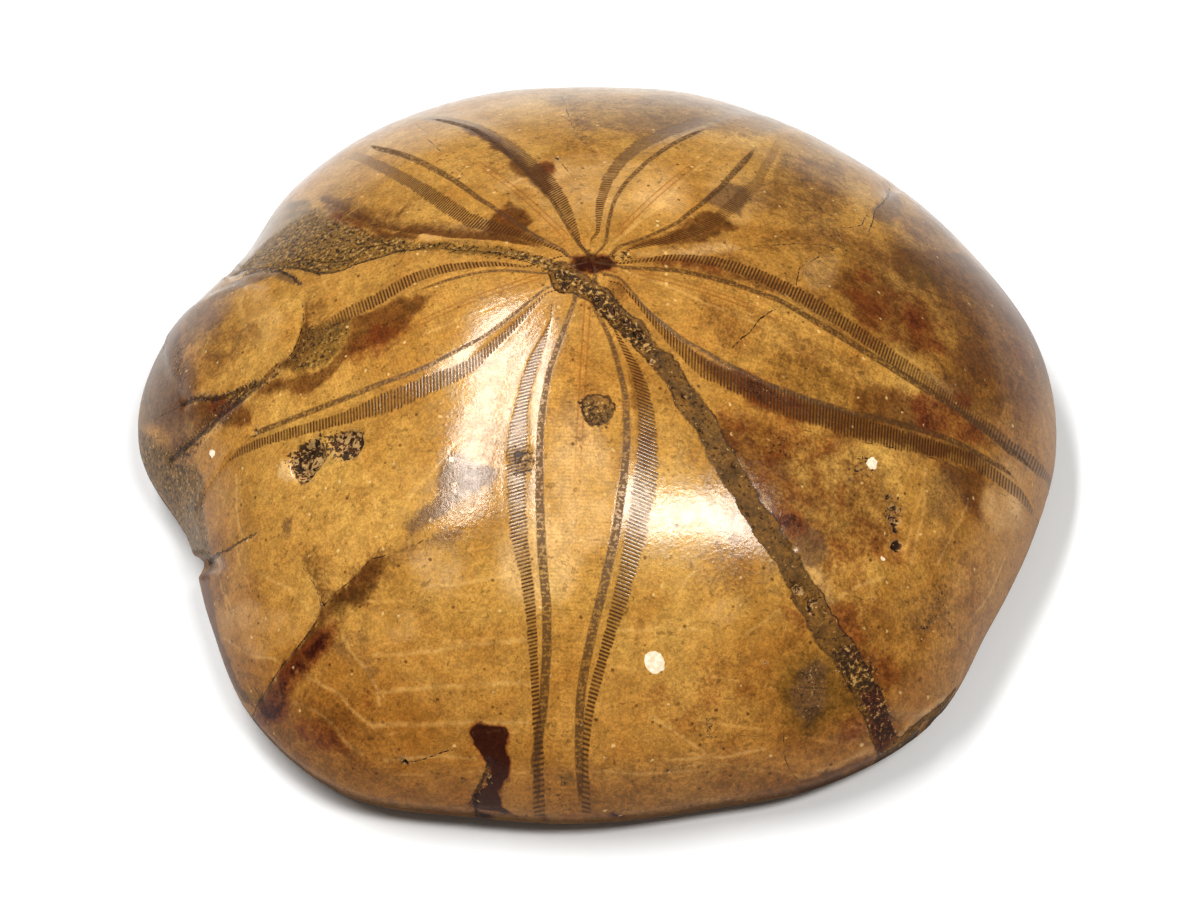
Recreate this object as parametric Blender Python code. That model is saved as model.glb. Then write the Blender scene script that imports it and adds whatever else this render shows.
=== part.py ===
"""Fossil sea urchin: one polished stone dome with five petals, lying on its flat side.

The body is a sphere primitive whose rings are carried onto the urchin's own section, from the
apex over the rounded rim to the hollow underside, and stretched to its lobed outline.
Units are metres, +Z is up, the front petal points along -Y, and the origin is at the middle
of the bounding box on the ground.
"""

import bpy
import bmesh
import numpy as np

NAME = "fossil_sea_urchin"
STONE_NAME = "urchin_stone"

# Outline: distance of the rim from the apex, seen from above. The first value is towards +X and
# the others follow anticlockwise at equal steps, so that +Y is the seventh.
OUTLINE_RADII = (
    0.0530, 0.0545, 0.0540, 0.0540, 0.0545, 0.0560,
    0.0555, 0.0565, 0.0560, 0.0535, 0.0495, 0.0525,
    0.0515, 0.0465, 0.0475, 0.0505, 0.0515, 0.0490,
    0.0480, 0.0480, 0.0500, 0.0510, 0.0495, 0.0505,
)
# Round plan that the outline's lobes fade into on the way up to the apex or in to the mouth
ROUND_RADIUS = 0.0516
ROUND_CENTRE = (0.0010, 0.0030)
LOBE_FADE = 4.0

# Dome
APEX_HEIGHT = 0.037
RIM_HEIGHT = 0.006
DOME_FALL = 1.7
DOME_ROUNDING = 0.65

# Petals: raised a little above the plates between them
PETAL_DIRECTIONS_DEG = (-92.0, -13.0, 56.0, 122.0, 198.0)
PETAL_LENGTH = 0.044
PETAL_HALF_WIDTH = 0.0075
PETAL_RISE = 0.0006

# Underside: the rim rolls under onto a worn flat ring, with a shallow hollow inside it
RIM_ROLL = 0.006
SEAT_WIDTH = 0.010
HOLLOW_DEPTH = 0.0016
HOLLOW_ROUNDING = 0.8
MOUTH_CENTRE = (0.0, -0.004)
MOUTH_RADIUS = 0.0050
MOUTH_DEPTH = 0.0020
VENT_CENTRE = (0.0, 0.0470)
VENT_RADII = (0.0030, 0.0042)
VENT_DEPTH = 0.0012

# Sphere primitive: how many strips round the axis and from pole to pole, and the share of the
# way from pole to pole at which each stretch of the section ends
STRIPS_ROUND = 96
STRIPS_DOWN = 44
RIM_AT = 0.50
ROLL_END_AT = 0.62
SEAT_END_AT = 0.70

STONE_COLOUR = (0.46, 0.245, 0.075, 1.0)
STONE_ROUGHNESS = 0.16


def clear_scene():
    """Removes every object that is in the scene."""
    for ob in list(bpy.data.objects):
        bpy.data.objects.remove(ob, do_unlink=True)


def stone_material():
    """Polished amber calcite."""
    material = bpy.data.materials.new("amber_stone")
    material.use_nodes = True
    shader = material.node_tree.nodes["Principled BSDF"]
    shader.inputs["Base Color"].default_value = STONE_COLOUR
    shader.inputs["Roughness"].default_value = STONE_ROUGHNESS
    shader.inputs["Metallic"].default_value = 0.0
    return material


def outline_radius(angle):
    """Rim distance in each direction: a smooth periodic cubic through the outline's radii."""
    radii = np.array(OUTLINE_RADII)
    count = len(radii)
    place = (angle / (2.0 * np.pi) * count) % count
    before = np.floor(place).astype(int)
    t = place - before
    r0, r1, r2, r3 = (radii[(before + step) % count] for step in (-1, 0, 1, 2))
    lean_in, lean_out = (r2 - r0) / 2.0, (r3 - r1) / 2.0
    bend = 2.0 * (r1 - r2) + lean_in + lean_out
    return r1 + t * (lean_in + t * (3.0 * (r2 - r1) - 2.0 * lean_in - lean_out + t * bend))


def share(value, start, end):
    """How far value lies along the way from start to end, held between 0 and 1."""
    return np.clip((value - start) / (end - start), 0.0, 1.0)


def lobed(u, rim, angle):
    """Plan radius at share u of the way out: lobed at the rim, round near the middle."""
    plain = ROUND_RADIUS + ROUND_CENTRE[0] * np.cos(angle) + ROUND_CENTRE[1] * np.sin(angle)
    return u * (plain + (rim - plain) * u**LOBE_FADE)


def section(down, angle):
    """Radius and height at each share of the way down from the top pole to the bottom one.

    Dome: height falls from apex to rim as (1 - u^fall)^rounding, where u is the share of the
    way out. Roll: a quarter ellipse. Seat: level at zero. Hollow: a smooth rise to its depth,
    raised to the power of its rounding.
    """
    rim = outline_radius(angle)
    u = np.sin(0.5 * np.pi * share(down, 0.0, RIM_AT))
    dome = (1.0 - u**DOME_FALL) ** DOME_ROUNDING
    dome_height = RIM_HEIGHT + (APEX_HEIGHT - RIM_HEIGHT) * dome

    turn = 0.5 * np.pi * share(down, RIM_AT, ROLL_END_AT)
    roll_radius = rim - RIM_ROLL * (1.0 - np.cos(turn))
    roll_height = RIM_HEIGHT * (1.0 - np.sin(turn))

    seat_radius = rim - RIM_ROLL - SEAT_WIDTH * share(down, ROLL_END_AT, SEAT_END_AT)

    inward = share(down, SEAT_END_AT, 1.0)
    seat_inside = rim - RIM_ROLL - SEAT_WIDTH
    hollow_radius = seat_inside / rim * lobed(1.0 - inward, rim, angle)
    hollow_height = HOLLOW_DEPTH * (inward * inward * (3.0 - 2.0 * inward)) ** HOLLOW_ROUNDING

    where = [down <= RIM_AT, down <= ROLL_END_AT, down <= SEAT_END_AT]
    radius = np.select(where, [lobed(u, rim, angle), roll_radius, seat_radius], hollow_radius)
    height = np.select(where, [dome_height, roll_height, 0.0 * down], hollow_height)
    return radius, height


def petal_rise(x, y):
    """Height that the petals add: a rounded ridge along each, fading at both its ends."""
    rise = np.zeros_like(x)
    for direction in np.radians(PETAL_DIRECTIONS_DEG):
        along = x * np.cos(direction) + y * np.sin(direction)
        across = y * np.cos(direction) - x * np.sin(direction)
        length = np.sin(np.pi * np.clip(along / PETAL_LENGTH, 0.0, 1.0))
        ridge = PETAL_RISE * length * np.exp(-((across / PETAL_HALF_WIDTH) ** 2))
        rise = np.maximum(rise, ridge)
    return rise


def dimple(x, y, centre, radii):
    """Bell-shaped dent, 1 at its centre and fading over its radii."""
    return np.exp(-(((x - centre[0]) / radii[0]) ** 2) - ((y - centre[1]) / radii[1]) ** 2)


def shape_stone(points):
    """Carries the points of a unit sphere onto the urchin."""
    angle = np.arctan2(points[:, 1], points[:, 0])
    down = np.arccos(np.clip(points[:, 2], -1.0, 1.0)) / np.pi
    radius, height = section(down, angle)
    x, y = radius * np.cos(angle), radius * np.sin(angle)

    on_top = down < RIM_AT
    inside_seat = down > SEAT_END_AT
    rolling = (down > RIM_AT) & (down < ROLL_END_AT)
    mouth = MOUTH_DEPTH * dimple(x, y, MOUTH_CENTRE, (MOUTH_RADIUS, MOUTH_RADIUS))
    vent = VENT_DEPTH * dimple(x, y, VENT_CENTRE, VENT_RADII)
    height = height + np.where(on_top, petal_rise(x, y), 0.0)
    height = height + np.where(inside_seat, mouth, 0.0) + np.where(rolling, vent, 0.0)

    shaped = np.stack([x, y, height], axis=1)
    middle = (shaped.min(axis=0) + shaped.max(axis=0)) / 2.0
    shaped[:, :2] -= middle[:2]
    return shaped


def make_stone(collection):
    """The whole fossil: one closed body."""
    mesh = bpy.data.meshes.new(STONE_NAME)
    shell = bmesh.new()
    bmesh.ops.create_uvsphere(
        shell, u_segments=STRIPS_ROUND, v_segments=STRIPS_DOWN, radius=1.0
    )
    shell.to_mesh(mesh)
    shell.free()

    points = np.empty(len(mesh.vertices) * 3)
    mesh.vertices.foreach_get("co", points)
    mesh.vertices.foreach_set("co", shape_stone(points.reshape(-1, 3)).ravel())
    mesh.shade_smooth()
    mesh.update()
    mesh.materials.append(stone_material())

    stone = bpy.data.objects.new(STONE_NAME, mesh)
    collection.objects.link(stone)
    return stone


def main():
    clear_scene()
    collection = bpy.data.collections.new(NAME)
    bpy.context.scene.collection.children.link(collection)
    make_stone(collection)


main()
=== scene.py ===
# %% [markdown]
# Fossil sea urchin. The real object is one stone: the shell of a sea biscuit that was filled
# with lime mud, turned to stone, cracked, healed with olive sediment and polished to a gloss.
# This lesson makes its outer surface as one mesh and finishes it with one node material.
# The first cell loads the fixed frame that the surface has to fit.

import bpy
import numpy as np
from mathutils import Matrix


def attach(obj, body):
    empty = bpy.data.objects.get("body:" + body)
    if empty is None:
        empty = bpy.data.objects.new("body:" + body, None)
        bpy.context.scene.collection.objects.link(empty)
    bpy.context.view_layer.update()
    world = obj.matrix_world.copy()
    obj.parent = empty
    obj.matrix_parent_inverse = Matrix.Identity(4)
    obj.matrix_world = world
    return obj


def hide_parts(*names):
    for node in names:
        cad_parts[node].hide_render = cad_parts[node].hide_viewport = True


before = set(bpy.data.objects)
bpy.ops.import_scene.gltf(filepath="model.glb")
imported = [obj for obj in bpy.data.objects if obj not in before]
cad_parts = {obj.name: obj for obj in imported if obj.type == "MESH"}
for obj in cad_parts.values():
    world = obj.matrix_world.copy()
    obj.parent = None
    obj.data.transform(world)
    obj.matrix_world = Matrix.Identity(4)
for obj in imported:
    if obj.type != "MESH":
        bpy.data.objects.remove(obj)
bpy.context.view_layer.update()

MM = 0.001
NODE = "urchin_stone"

# %% [markdown]
# The plan of the shell is a round form with soft lobes, which is strongest at the rim and dies
# away towards the apex. It could be traced as a dense outline; a radius every 15 degrees and a
# smooth periodic cubic through them gives the same line with few numbers. A handful of narrow
# dents stand for chips and healed breaks in the rim. Sizes are in millimetres from the apex.

# %% Outline
OUTLINE_RADII = np.array([
    53.0, 54.5, 54.0, 54.0, 54.5, 56.0, 55.5, 56.5, 56.0, 53.5, 49.5, 52.5,
    51.5, 46.5, 47.5, 50.5, 51.5, 49.0, 48.0, 48.0, 50.0, 51.0, 49.5, 50.5,
])
ROUND_RADIUS, ROUND_CENTRE, LOBE_FADE = 51.6, (1.0, 3.0), 4.0


def outline_radius(angle):
    """Rim distance: a periodic cubic whose slope at each radius is half its neighbours' gap."""
    count = len(OUTLINE_RADII)
    place = (angle / (2.0 * np.pi) * count) % count
    before = np.floor(place).astype(int)
    t = place - before
    r0, r1, r2, r3 = (OUTLINE_RADII[(before + step) % count] for step in (-1, 0, 1, 2))
    lean_in, lean_out = (r2 - r0) / 2.0, (r3 - r1) / 2.0
    bend = 2.0 * (r1 - r2) + lean_in + lean_out
    return r1 + t * (lean_in + t * (3.0 * (r2 - r1) - 2.0 * lean_in - lean_out + t * bend))


def lobed_radius(u, angle):
    """Plan radius at share u of the way out: round near the apex, lobed at the rim."""
    rim = outline_radius(angle)
    plain = ROUND_RADIUS + ROUND_CENTRE[0] * np.cos(angle) + ROUND_CENTRE[1] * np.sin(angle)
    return u * (plain + (rim - plain) * u**LOBE_FADE)


# the frame's origin is the middle of the plan's box, so the apex stands a little off it
ALL_ROUND = np.linspace(0.0, 2.0 * np.pi, 721)
PLAN = outline_radius(ALL_ROUND)[:, None] * np.stack([np.cos(ALL_ROUND), np.sin(ALL_ROUND)], axis=1)
APEX_SHIFT = -(PLAN.min(axis=0) + PLAN.max(axis=0)) / 2.0
print("apex stands at, mm:", APEX_SHIFT.round(2), " plan:", np.ptp(PLAN, axis=0).round(1))

# %% [markdown]
# The section runs from the apex down the dome, rolls under at the rim, crosses a worn level
# ring and rises into a shallow hollow to the mouth. One parameter, the share of the way out,
# gives the dome its height; the rim and the underside are short stretches with a formula each.

# %% Section
APEX_HEIGHT, RIM_HEIGHT, DOME_FALL, DOME_ROUNDING = 37.0, 6.0, 1.7, 0.65
RIM_ROLL, SEAT_WIDTH, HOLLOW_DEPTH, HOLLOW_ROUNDING = 6.0, 10.0, 1.6, 0.8
MOUTH_CENTRE = np.array([0.0, -4.0])


def dome_height(u):
    """Height over the ground: apex to rim as (1 - u^fall)^rounding."""
    return RIM_HEIGHT + (APEX_HEIGHT - RIM_HEIGHT) * (1.0 - u**DOME_FALL) ** DOME_ROUNDING


def share(value, start, end):
    """How far value lies along the way from start to end, held between 0 and 1."""
    return np.clip((value - start) / (end - start), 0.0, 1.0)


def ease(value, start, end):
    """share() with a smooth start and stop."""
    t = share(value, start, end)
    return t * t * (3.0 - 2.0 * t)


def stone_points(stage, angle):
    """Bare body. Stage 0 to 1 is the dome, 1 to 2 the rim's roll (a quarter ellipse), 2 to 3 the
    level seat, and 3 to 4 the hollow, whose rings slide over to the mouth."""
    rim = outline_radius(angle)
    u = np.clip(stage, 0.0, 1.0)
    turn = 0.5 * np.pi * share(stage, 1.0, 2.0)
    rolled = rim - RIM_ROLL * (1.0 - np.cos(turn))
    seat = rolled - SEAT_WIDTH * share(stage, 2.0, 3.0)
    inward = share(stage, 3.0, 4.0)
    inside = seat / rim * lobed_radius(1.0 - inward, angle)
    radius = np.select([stage <= 1.0, stage <= 3.0], [lobed_radius(u, angle), seat], inside)
    height = np.where(stage <= 1.0, dome_height(u), RIM_HEIGHT * (1.0 - np.sin(turn)))
    height = height + HOLLOW_DEPTH * ease(inward, 0.0, 1.0) ** HOLLOW_ROUNDING
    x = radius * np.cos(angle) + MOUTH_CENTRE[0] * inward
    y = radius * np.sin(angle) + MOUTH_CENTRE[1] * inward
    return np.stack([x, y, height], axis=-1)


print("the dome is", round(dome_height(0.5), 1), "mm high half-way out")

# %% [markdown]
# The camera looks down at the front petal from about half-way up the sky. It comes first,
# because the markings on the stone are placed by where they fall in its picture, which is
# 1200 by 900 points with the origin at its upper left.

# %% Camera
PICTURE = (1200.0, 900.0)
LENS, SENSOR = 75.0, 36.0
CAMERA_UP_DEG, CAMERA_DISTANCE = 51.0, 277.0
CAMERA_AIM = np.array([1.0, -5.0, 12.0])
FOCAL = LENS / SENSOR * PICTURE[0]

up_angle = np.radians(CAMERA_UP_DEG)
TO_CAMERA = np.array([0.0, -np.cos(up_angle), np.sin(up_angle)])
PICTURE_RIGHT = np.array([1.0, 0.0, 0.0])
PICTURE_UP = np.array([0.0, np.sin(up_angle), np.cos(up_angle)])
CAMERA_PLACE = CAMERA_AIM + TO_CAMERA * CAMERA_DISTANCE

camera_data = bpy.data.cameras.new("camera")
camera_data.lens, camera_data.sensor_width = LENS, SENSOR
camera_data.clip_start, camera_data.clip_end = 0.01, 20.0
camera = bpy.data.objects.new("camera", camera_data)
camera.location = (*((CAMERA_PLACE[:2] + APEX_SHIFT) * MM), CAMERA_PLACE[2] * MM)
camera.rotation_euler = (np.radians(90.0 - CAMERA_UP_DEG), 0.0, 0.0)
bpy.context.scene.collection.objects.link(camera)
bpy.context.scene.camera = camera
print("camera stands at, m:", [round(v, 4) for v in camera.location])

# %% [markdown]
# Markings could be drawn on the mesh by hand or painted as a picture; here each is a short list
# of points in the camera's picture. A ray through a point is followed down until it meets the
# dome, so every marking lies on the stone and can be looked at from any side. The flat map is
# the dome unrolled: the same direction from the apex, at the distance along the stone.

# %% Dropping picture points onto the dome
WAY_OUT_STEPS, RAY_STEPS, WALK_STEPS = 12, 160, 60
SKIRT_SLOPE = 200.0


def way_out(x, y):
    """Share u of the way from apex to rim at a plan point, by fixed-point steps."""
    angle, radius = np.arctan2(y, x), np.hypot(x, y)
    u = radius / outline_radius(angle)
    for _ in range(WAY_OUT_STEPS):
        inner = np.maximum(lobed_radius(u, angle) / np.maximum(u, 1e-6), 1.0)
        u = 0.5 * u + 0.5 * radius / inner
    return u


def over_dome(points):
    """Height of points above the dome; outside the rim, above a skirt that falls away."""
    u = way_out(points[..., 0], points[..., 1])
    skirt = RIM_HEIGHT - SKIRT_SLOPE * (u - 1.0)
    return points[..., 2] - np.where(u < 1.0, dome_height(np.minimum(u, 1.0)), skirt)


def onto_dome(picture_points):
    """First meeting of the ray through each picture point with the dome."""
    spot = np.asarray(picture_points, dtype=float)
    ray = (
        -TO_CAMERA
        + ((spot[..., 0] - PICTURE[0] / 2.0) / FOCAL)[..., None] * PICTURE_RIGHT
        - ((spot[..., 1] - PICTURE[1] / 2.0) / FOCAL)[..., None] * PICTURE_UP
    )
    reach = np.linspace(0.0, 1.0, RAY_STEPS)
    start = (CAMERA_PLACE[2] - APEX_HEIGHT - 1.0) / -ray[..., 2]
    stop = (CAMERA_PLACE[2] - RIM_HEIGHT) / -ray[..., 2]
    steps = start[..., None] + (stop - start)[..., None] * reach
    above = over_dome(CAMERA_PLACE + steps[..., None] * ray[..., None, :])
    below = above < 0.0
    hit = np.where(below.any(axis=-1), below.argmax(axis=-1), above.argmin(axis=-1))
    hit = np.maximum(hit, 1)[..., None]
    before, after = np.take_along_axis(above, hit - 1, -1), np.take_along_axis(above, hit, -1)
    part = np.clip(before / np.maximum(before - after, 1e-9), 0.0, 1.0)
    far = np.take_along_axis(steps, hit - 1, -1) * (1.0 - part)
    far = far + np.take_along_axis(steps, hit, -1) * part
    return CAMERA_PLACE + far * ray


def unrolled(points):
    """Flat map of dome points: same direction from the apex, at the distance along the stone."""
    angle = np.arctan2(points[..., 1], points[..., 0])
    u = np.minimum(way_out(points[..., 0], points[..., 1]), 1.0)
    stages = u[..., None] * np.linspace(0.0, 1.0, WALK_STEPS)
    walk = stone_points(stages, angle[..., None] * np.ones(WALK_STEPS))
    along = np.linalg.norm(np.diff(walk, axis=-2), axis=-1).sum(axis=-1)
    return along[..., None] * np.stack([np.cos(angle), np.sin(angle)], axis=-1)


def on_map(picture_points):
    """Picture points carried to the flat map."""
    return unrolled(onto_dome(picture_points))


FRONT_RIM = (560, 815)
print("front rim lies", round(float(-on_map([FRONT_RIM])[0, 1]), 1), "mm along the stone from the apex")

# %% [markdown]
# The finished surface is a polar grid: rings from the apex to the mouth, evenly spaced along
# the stone, with the same number of points in each. A square grid would waste points on
# corners, and a polar one also packs them where the petals meet. The flat map of every grid
# point is kept, since all the markings are worked out on it.

# %% Grid
POINTS_ROUND, DOME_RINGS, ROLL_RINGS, UNDER_RINGS = 520, 126, 17, 45
FINE_STEPS, UNDER_SPREAD = 2001, 0.9
# stages of the rim's roll between which the polish and all markings give way to the underside
UNDER_STARTS, UNDER_FULL = 1.35, 1.9


def even_stages():
    """Ring stages: evenly spaced along the dome and along the roll, wider underneath."""
    fine = np.linspace(0.0, 1.0, FINE_STEPS)
    line = stone_points(fine, 0.0 * fine)
    along = np.concatenate([[0.0], np.linalg.norm(np.diff(line, axis=0), axis=1).cumsum()])
    dome = np.interp(np.linspace(0.0, along[-1], DOME_RINGS + 1), along, fine)
    roll = 1.0 + np.linspace(0.0, 1.0, ROLL_RINGS + 1)[1:]
    under = 2.0 + 2.0 * np.linspace(0.0, 1.0, UNDER_RINGS + 1)[1:] ** UNDER_SPREAD
    return np.concatenate([dome, roll, under])


STAGES = even_stages()[1:-1]
ANGLES = np.arange(POINTS_ROUND) * 2.0 * np.pi / POINTS_ROUND
STAGE, ANGLE = np.meshgrid(STAGES, ANGLES, indexing="ij")
BODY = stone_points(STAGE, ANGLE)
walk = np.concatenate([stone_points(np.zeros_like(ANGLE[:1]), ANGLE[:1]), BODY])
ALONG = np.linalg.norm(np.diff(walk, axis=0), axis=-1).cumsum(axis=0)
MAP = ALONG[..., None] * np.stack([np.cos(ANGLE), np.sin(ANGLE)], axis=-1)
ON_TOP = 1.0 - ease(STAGE, UNDER_STARTS, UNDER_FULL)
RIM_ALONG = ALONG[DOME_RINGS - 1]
print("grid", STAGE.shape, "triangles", 2 * STAGE.size, " rim at", RIM_ALONG.mean().round(1), "mm")

# %% [markdown]
# Rough surfaces need an irregular field. A lattice of random numbers with smooth steps between
# them is the plainest noise; its seed keeps it the same each time.

# %% Lattice noise
LATTICE_SIDE, LATTICE_SEED = 32, 7
LATTICE = np.random.default_rng(LATTICE_SEED).uniform(-1.0, 1.0, (LATTICE_SIDE,) * 3)


def rough(points, size, shift=0.0):
    """Value noise: random lattice values every size mm, blended with smooth steps."""
    place = points / size + shift + LATTICE_SIDE / 2
    low = np.floor(place).astype(int)
    t = place - low
    t = t * t * (3.0 - 2.0 * t)
    total = 0.0
    for corner in np.ndindex(2, 2, 2):
        x, y, z = (np.where(c, t[..., i], 1.0 - t[..., i]) for i, c in enumerate(corner))
        i, j, k = ((low[..., n] + corner[n]) % LATTICE_SIDE for n in range(3))
        total = total + LATTICE[i, j, k] * x * y * z
    return total


print("lattice of", LATTICE.size, "values, mean", round(float(LATTICE.mean()), 3))

# %% [markdown]
# Each of the five petals has two rows of pore pairs. The inner pores read as a thin dotted
# line, and the outer ones as a comb of short slits, with a pale gap between. The rows could be
# drawn as five copies of one petal, but on the real stone each bends in its own way, so each
# row has a few picture points of its own.

# %% Petal rows
# a line is picture points; a comb is picture points along its middle, each with the comb's
# width there in picture points and its darkness from 0 to 1
FRONT_RIGHT_LINE = [(593, 306), (607, 330), (615, 353), (621, 376), (626, 400), (627, 441),
                    (624, 475), (620, 503), (616, 533), (609, 562), (603, 591), (596, 616),
                    (591, 638), (584, 671), (580, 700), (579, 749), (580, 782), (581, 822)]
FRONT_RIGHT_COMB = [(611, 322, 1, 1), (622, 347, 5, 1), (634, 364, 11, 1), (639, 378, 12, 1),
                    (643, 396, 15, 1), (646, 408, 16, 1), (647, 433, 19, 1), (647, 466, 23, 1),
                    (641, 500, 25, .9), (634, 541, 23, .9), (628, 566, 18, 1), (621, 596, 16, 1),
                    (615, 617, 15, 1), (608, 638, 11, 1), (599, 671, 10, 1), (591, 700, 10, 1),
                    (587, 724, 8, 1), (585, 760, 7, .9), (586, 822, 10, .9)]
FRONT_LEFT_LINE = [(575, 299), (562, 336), (549, 373), (542, 416), (540, 450), (540, 500),
                   (542, 549), (547, 608), (547, 650), (544, 700), (541, 726), (537, 749),
                   (538, 822)]
FRONT_LEFT_COMB = [(551, 318, 1, 1), (545, 338, 5, 1), (534, 360, 13, 1), (526, 386, 12, 1),
                   (521, 412, 14, 1), (518, 440, 22, .9), (517, 491, 19, 1), (520, 541, 19, 1),
                   (527, 574, 13, 1), (531, 608, 11, 1), (533, 641, 10, 1), (535, 675, 8, 1),
                   (536, 700, 8, 1), (539, 746, 10, 1), (539, 822, 13, .9)]
LEFT_LOWER_LINE = [(546, 288), (526, 305), (513, 316), (493, 333), (471, 346), (446, 358),
                   (430, 368), (405, 378), (380, 386), (348, 400), (318, 411), (287, 423),
                   (260, 433), (241, 441), (218, 455), (203, 464), (192, 472)]
LEFT_LOWER_COMB = [(546, 293, 2, 1), (516, 325, 6, 1), (496, 343, 8, 1), (473, 366, 12, 1),
                   (455, 374, 16, 1), (430, 384, 18, 1), (405, 396, 18, 1), (380, 405, 20, 1),
                   (348, 418, 12, 1), (318, 426, 11, 1), (287, 435, 10, 1), (263, 442, 8, 1),
                   (241, 452, 8, 1), (226, 459, 7, 1), (211, 468, 6, .9), (195, 479, 5, .7)]
LEFT_UPPER_LINE = [(546, 274), (535, 272), (510, 271), (486, 272), (451, 281), (416, 294),
                   (396, 301)]
LEFT_UPPER_COMB = [(526, 267, 2, 1), (496, 264, 5, 1), (471, 266, 8, 1), (446, 269, 9, 1),
                   (413, 279, 12, 1), (379, 301, 14, 1), (346, 316, 14, .9), (329, 325, 13, .5),
                   (310, 340, 10, .2), (270, 372, 8, .2), (233, 399, 8, .5), (213, 416, 7, .6),
                   (188, 442, 6, .6), (173, 455, 5, .5)]
BACK_LEFT_INNER_LINE = [(579, 244), (567, 226), (554, 204), (542, 190), (521, 168), (496, 146),
                        (473, 132), (451, 125), (425, 120)]
BACK_LEFT_INNER_COMB = [(580, 244, 3, 1), (575, 229, 7, 1), (564, 207, 13, 1), (551, 188, 17, 1),
                        (535, 172, 18, 1), (519, 158, 17, 1), (500, 144, 15, .9), (478, 132, 12, .9),
                        (450, 123, 8, .8), (425, 120, 5, .6)]
BACK_LEFT_OUTER_LINE = [(562, 249), (535, 236), (503, 216), (480, 201), (455, 183), (430, 169),
                        (405, 158), (380, 151), (366, 146)]
BACK_LEFT_OUTER_COMB = [(562, 251, 2, 1), (537, 241, 5, 1), (512, 231, 8, .8), (489, 226, 11, 1),
                        (471, 221, 14, 1), (446, 205, 16, 1), (421, 188, 13, 1), (397, 175, 12, 1),
                        (375, 164, 10, .8), (350, 155, 8, .4)]
BACK_RIGHT_INNER_LINE = [(606, 244), (608, 223), (614, 201), (626, 184), (646, 165), (667, 150),
                         (692, 137), (715, 128)]
BACK_RIGHT_INNER_COMB = [(598, 232, 4, 1), (600, 205, 9, 1), (608, 180, 12, 1), (622, 160, 13, 1),
                         (640, 146, 13, 1), (667, 133, 13, .9), (694, 125, 12, .7), (720, 118, 9, .4)]
BACK_RIGHT_OUTER_LINE = [(619, 246), (649, 237), (676, 225), (703, 205), (721, 189), (739, 169),
                         (748, 159), (758, 146)]
BACK_RIGHT_OUTER_COMB = [(630, 248, 3, .8), (649, 244, 6, .8), (685, 235, 10, .7), (712, 223, 12, .7),
                         (735, 204, 14, .7), (756, 184, 12, .6), (771, 157, 9, .5), (781, 139, 7, .2)]
RIGHT_UPPER_LINE = [(620, 267), (680, 272), (725, 284), (778, 302), (820, 327), (866, 355),
                    (901, 377), (936, 398), (971, 421), (1005, 448), (1040, 478)]
RIGHT_UPPER_COMB = [(620, 263, 2, 1), (673, 258, 7, 1), (718, 263, 11, 1), (760, 277, 14, 1),
                    (796, 295, 15, 1), (831, 316, 15, 1), (866, 340, 15, 1), (901, 367, 16, .9),
                    (929, 388, 13, .6), (971, 419, 11, .7), (1006, 444, 11, 1), (1041, 472, 11, 1),
                    (1056, 486, 10, .9)]
RIGHT_LOWER_LINE = [(620, 277), (648, 312), (683, 341), (725, 365), (767, 386), (810, 402),
                    (848, 414), (901, 426), (950, 441), (990, 462), (1030, 490)]
RIGHT_LOWER_COMB = [(620, 283, 2, 1), (634, 298, 4, 1), (666, 334, 10, 1), (701, 367, 17, 1),
                    (743, 386, 20, 1), (796, 407, 24, 1), (848, 426, 23, 1), (901, 441, 19, 1),
                    (936, 449, 15, 1), (971, 460, 13, .9), (1006, 484, 11, .9), (1034, 509, 10, .9)]
# the direction of the petal's axis on the flat map in degrees, then its two sides, the one that
# lies anticlockwise from the axis first; a side is its line, its comb, the lean of the comb's
# slits and the line's relative width
PETALS = {
    "front": (-93.0, (FRONT_RIGHT_LINE, FRONT_RIGHT_COMB, 0.28, 1.0),
              (FRONT_LEFT_LINE, FRONT_LEFT_COMB, 0.27, 1.0)),
    "left": (197.0, (LEFT_LOWER_LINE, LEFT_LOWER_COMB, 0.30, 0.72),
             (LEFT_UPPER_LINE, LEFT_UPPER_COMB, 0.0, 0.75)),
    "back_left": (123.0, (BACK_LEFT_OUTER_LINE, BACK_LEFT_OUTER_COMB, -0.32, 0.85),
                  (BACK_LEFT_INNER_LINE, BACK_LEFT_INNER_COMB, 0.27, 0.85)),
    "back_right": (58.0, (BACK_RIGHT_INNER_LINE, BACK_RIGHT_INNER_COMB, -0.6, 0.85),
                   (BACK_RIGHT_OUTER_LINE, BACK_RIGHT_OUTER_COMB, 0.2, 0.85)),
    "right": (-13.0, (RIGHT_UPPER_LINE, RIGHT_UPPER_COMB, 0.12, 1.1),
              (RIGHT_LOWER_LINE, RIGHT_LOWER_COMB, 0.23, 0.72)),
}

print(len(PETALS), "petals with two sides each")

# %% [markdown]
# Every grid point belongs to the petal whose axis is nearest in direction. Its place along and
# across that axis, against tables of where the line and the comb's edges run, tells the
# material where it stands between them. The tables are smoothed, because the listed points
# would make the rows wobble. Slits are numbered by adding up their spacing along the petal.

# %% Petal coordinates
PETAL_STEP, PETAL_TABLE_END = 0.5, 75.0
# what a field holds where no row or line is near
NOWHERE_NEAR = 9.0
SLIT_PITCH, RIM_SLIT_PITCH = 0.37, 0.66
PETAL_STEPS = np.arange(0.0, PETAL_TABLE_END, PETAL_STEP)




def along_across(place, direction):
    """Turns map points so that the first number runs along a petal and the second across it."""
    c, s = np.cos(direction), np.sin(direction)
    return place[..., 0] * c + place[..., 1] * s, place[..., 1] * c - place[..., 0] * s


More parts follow.
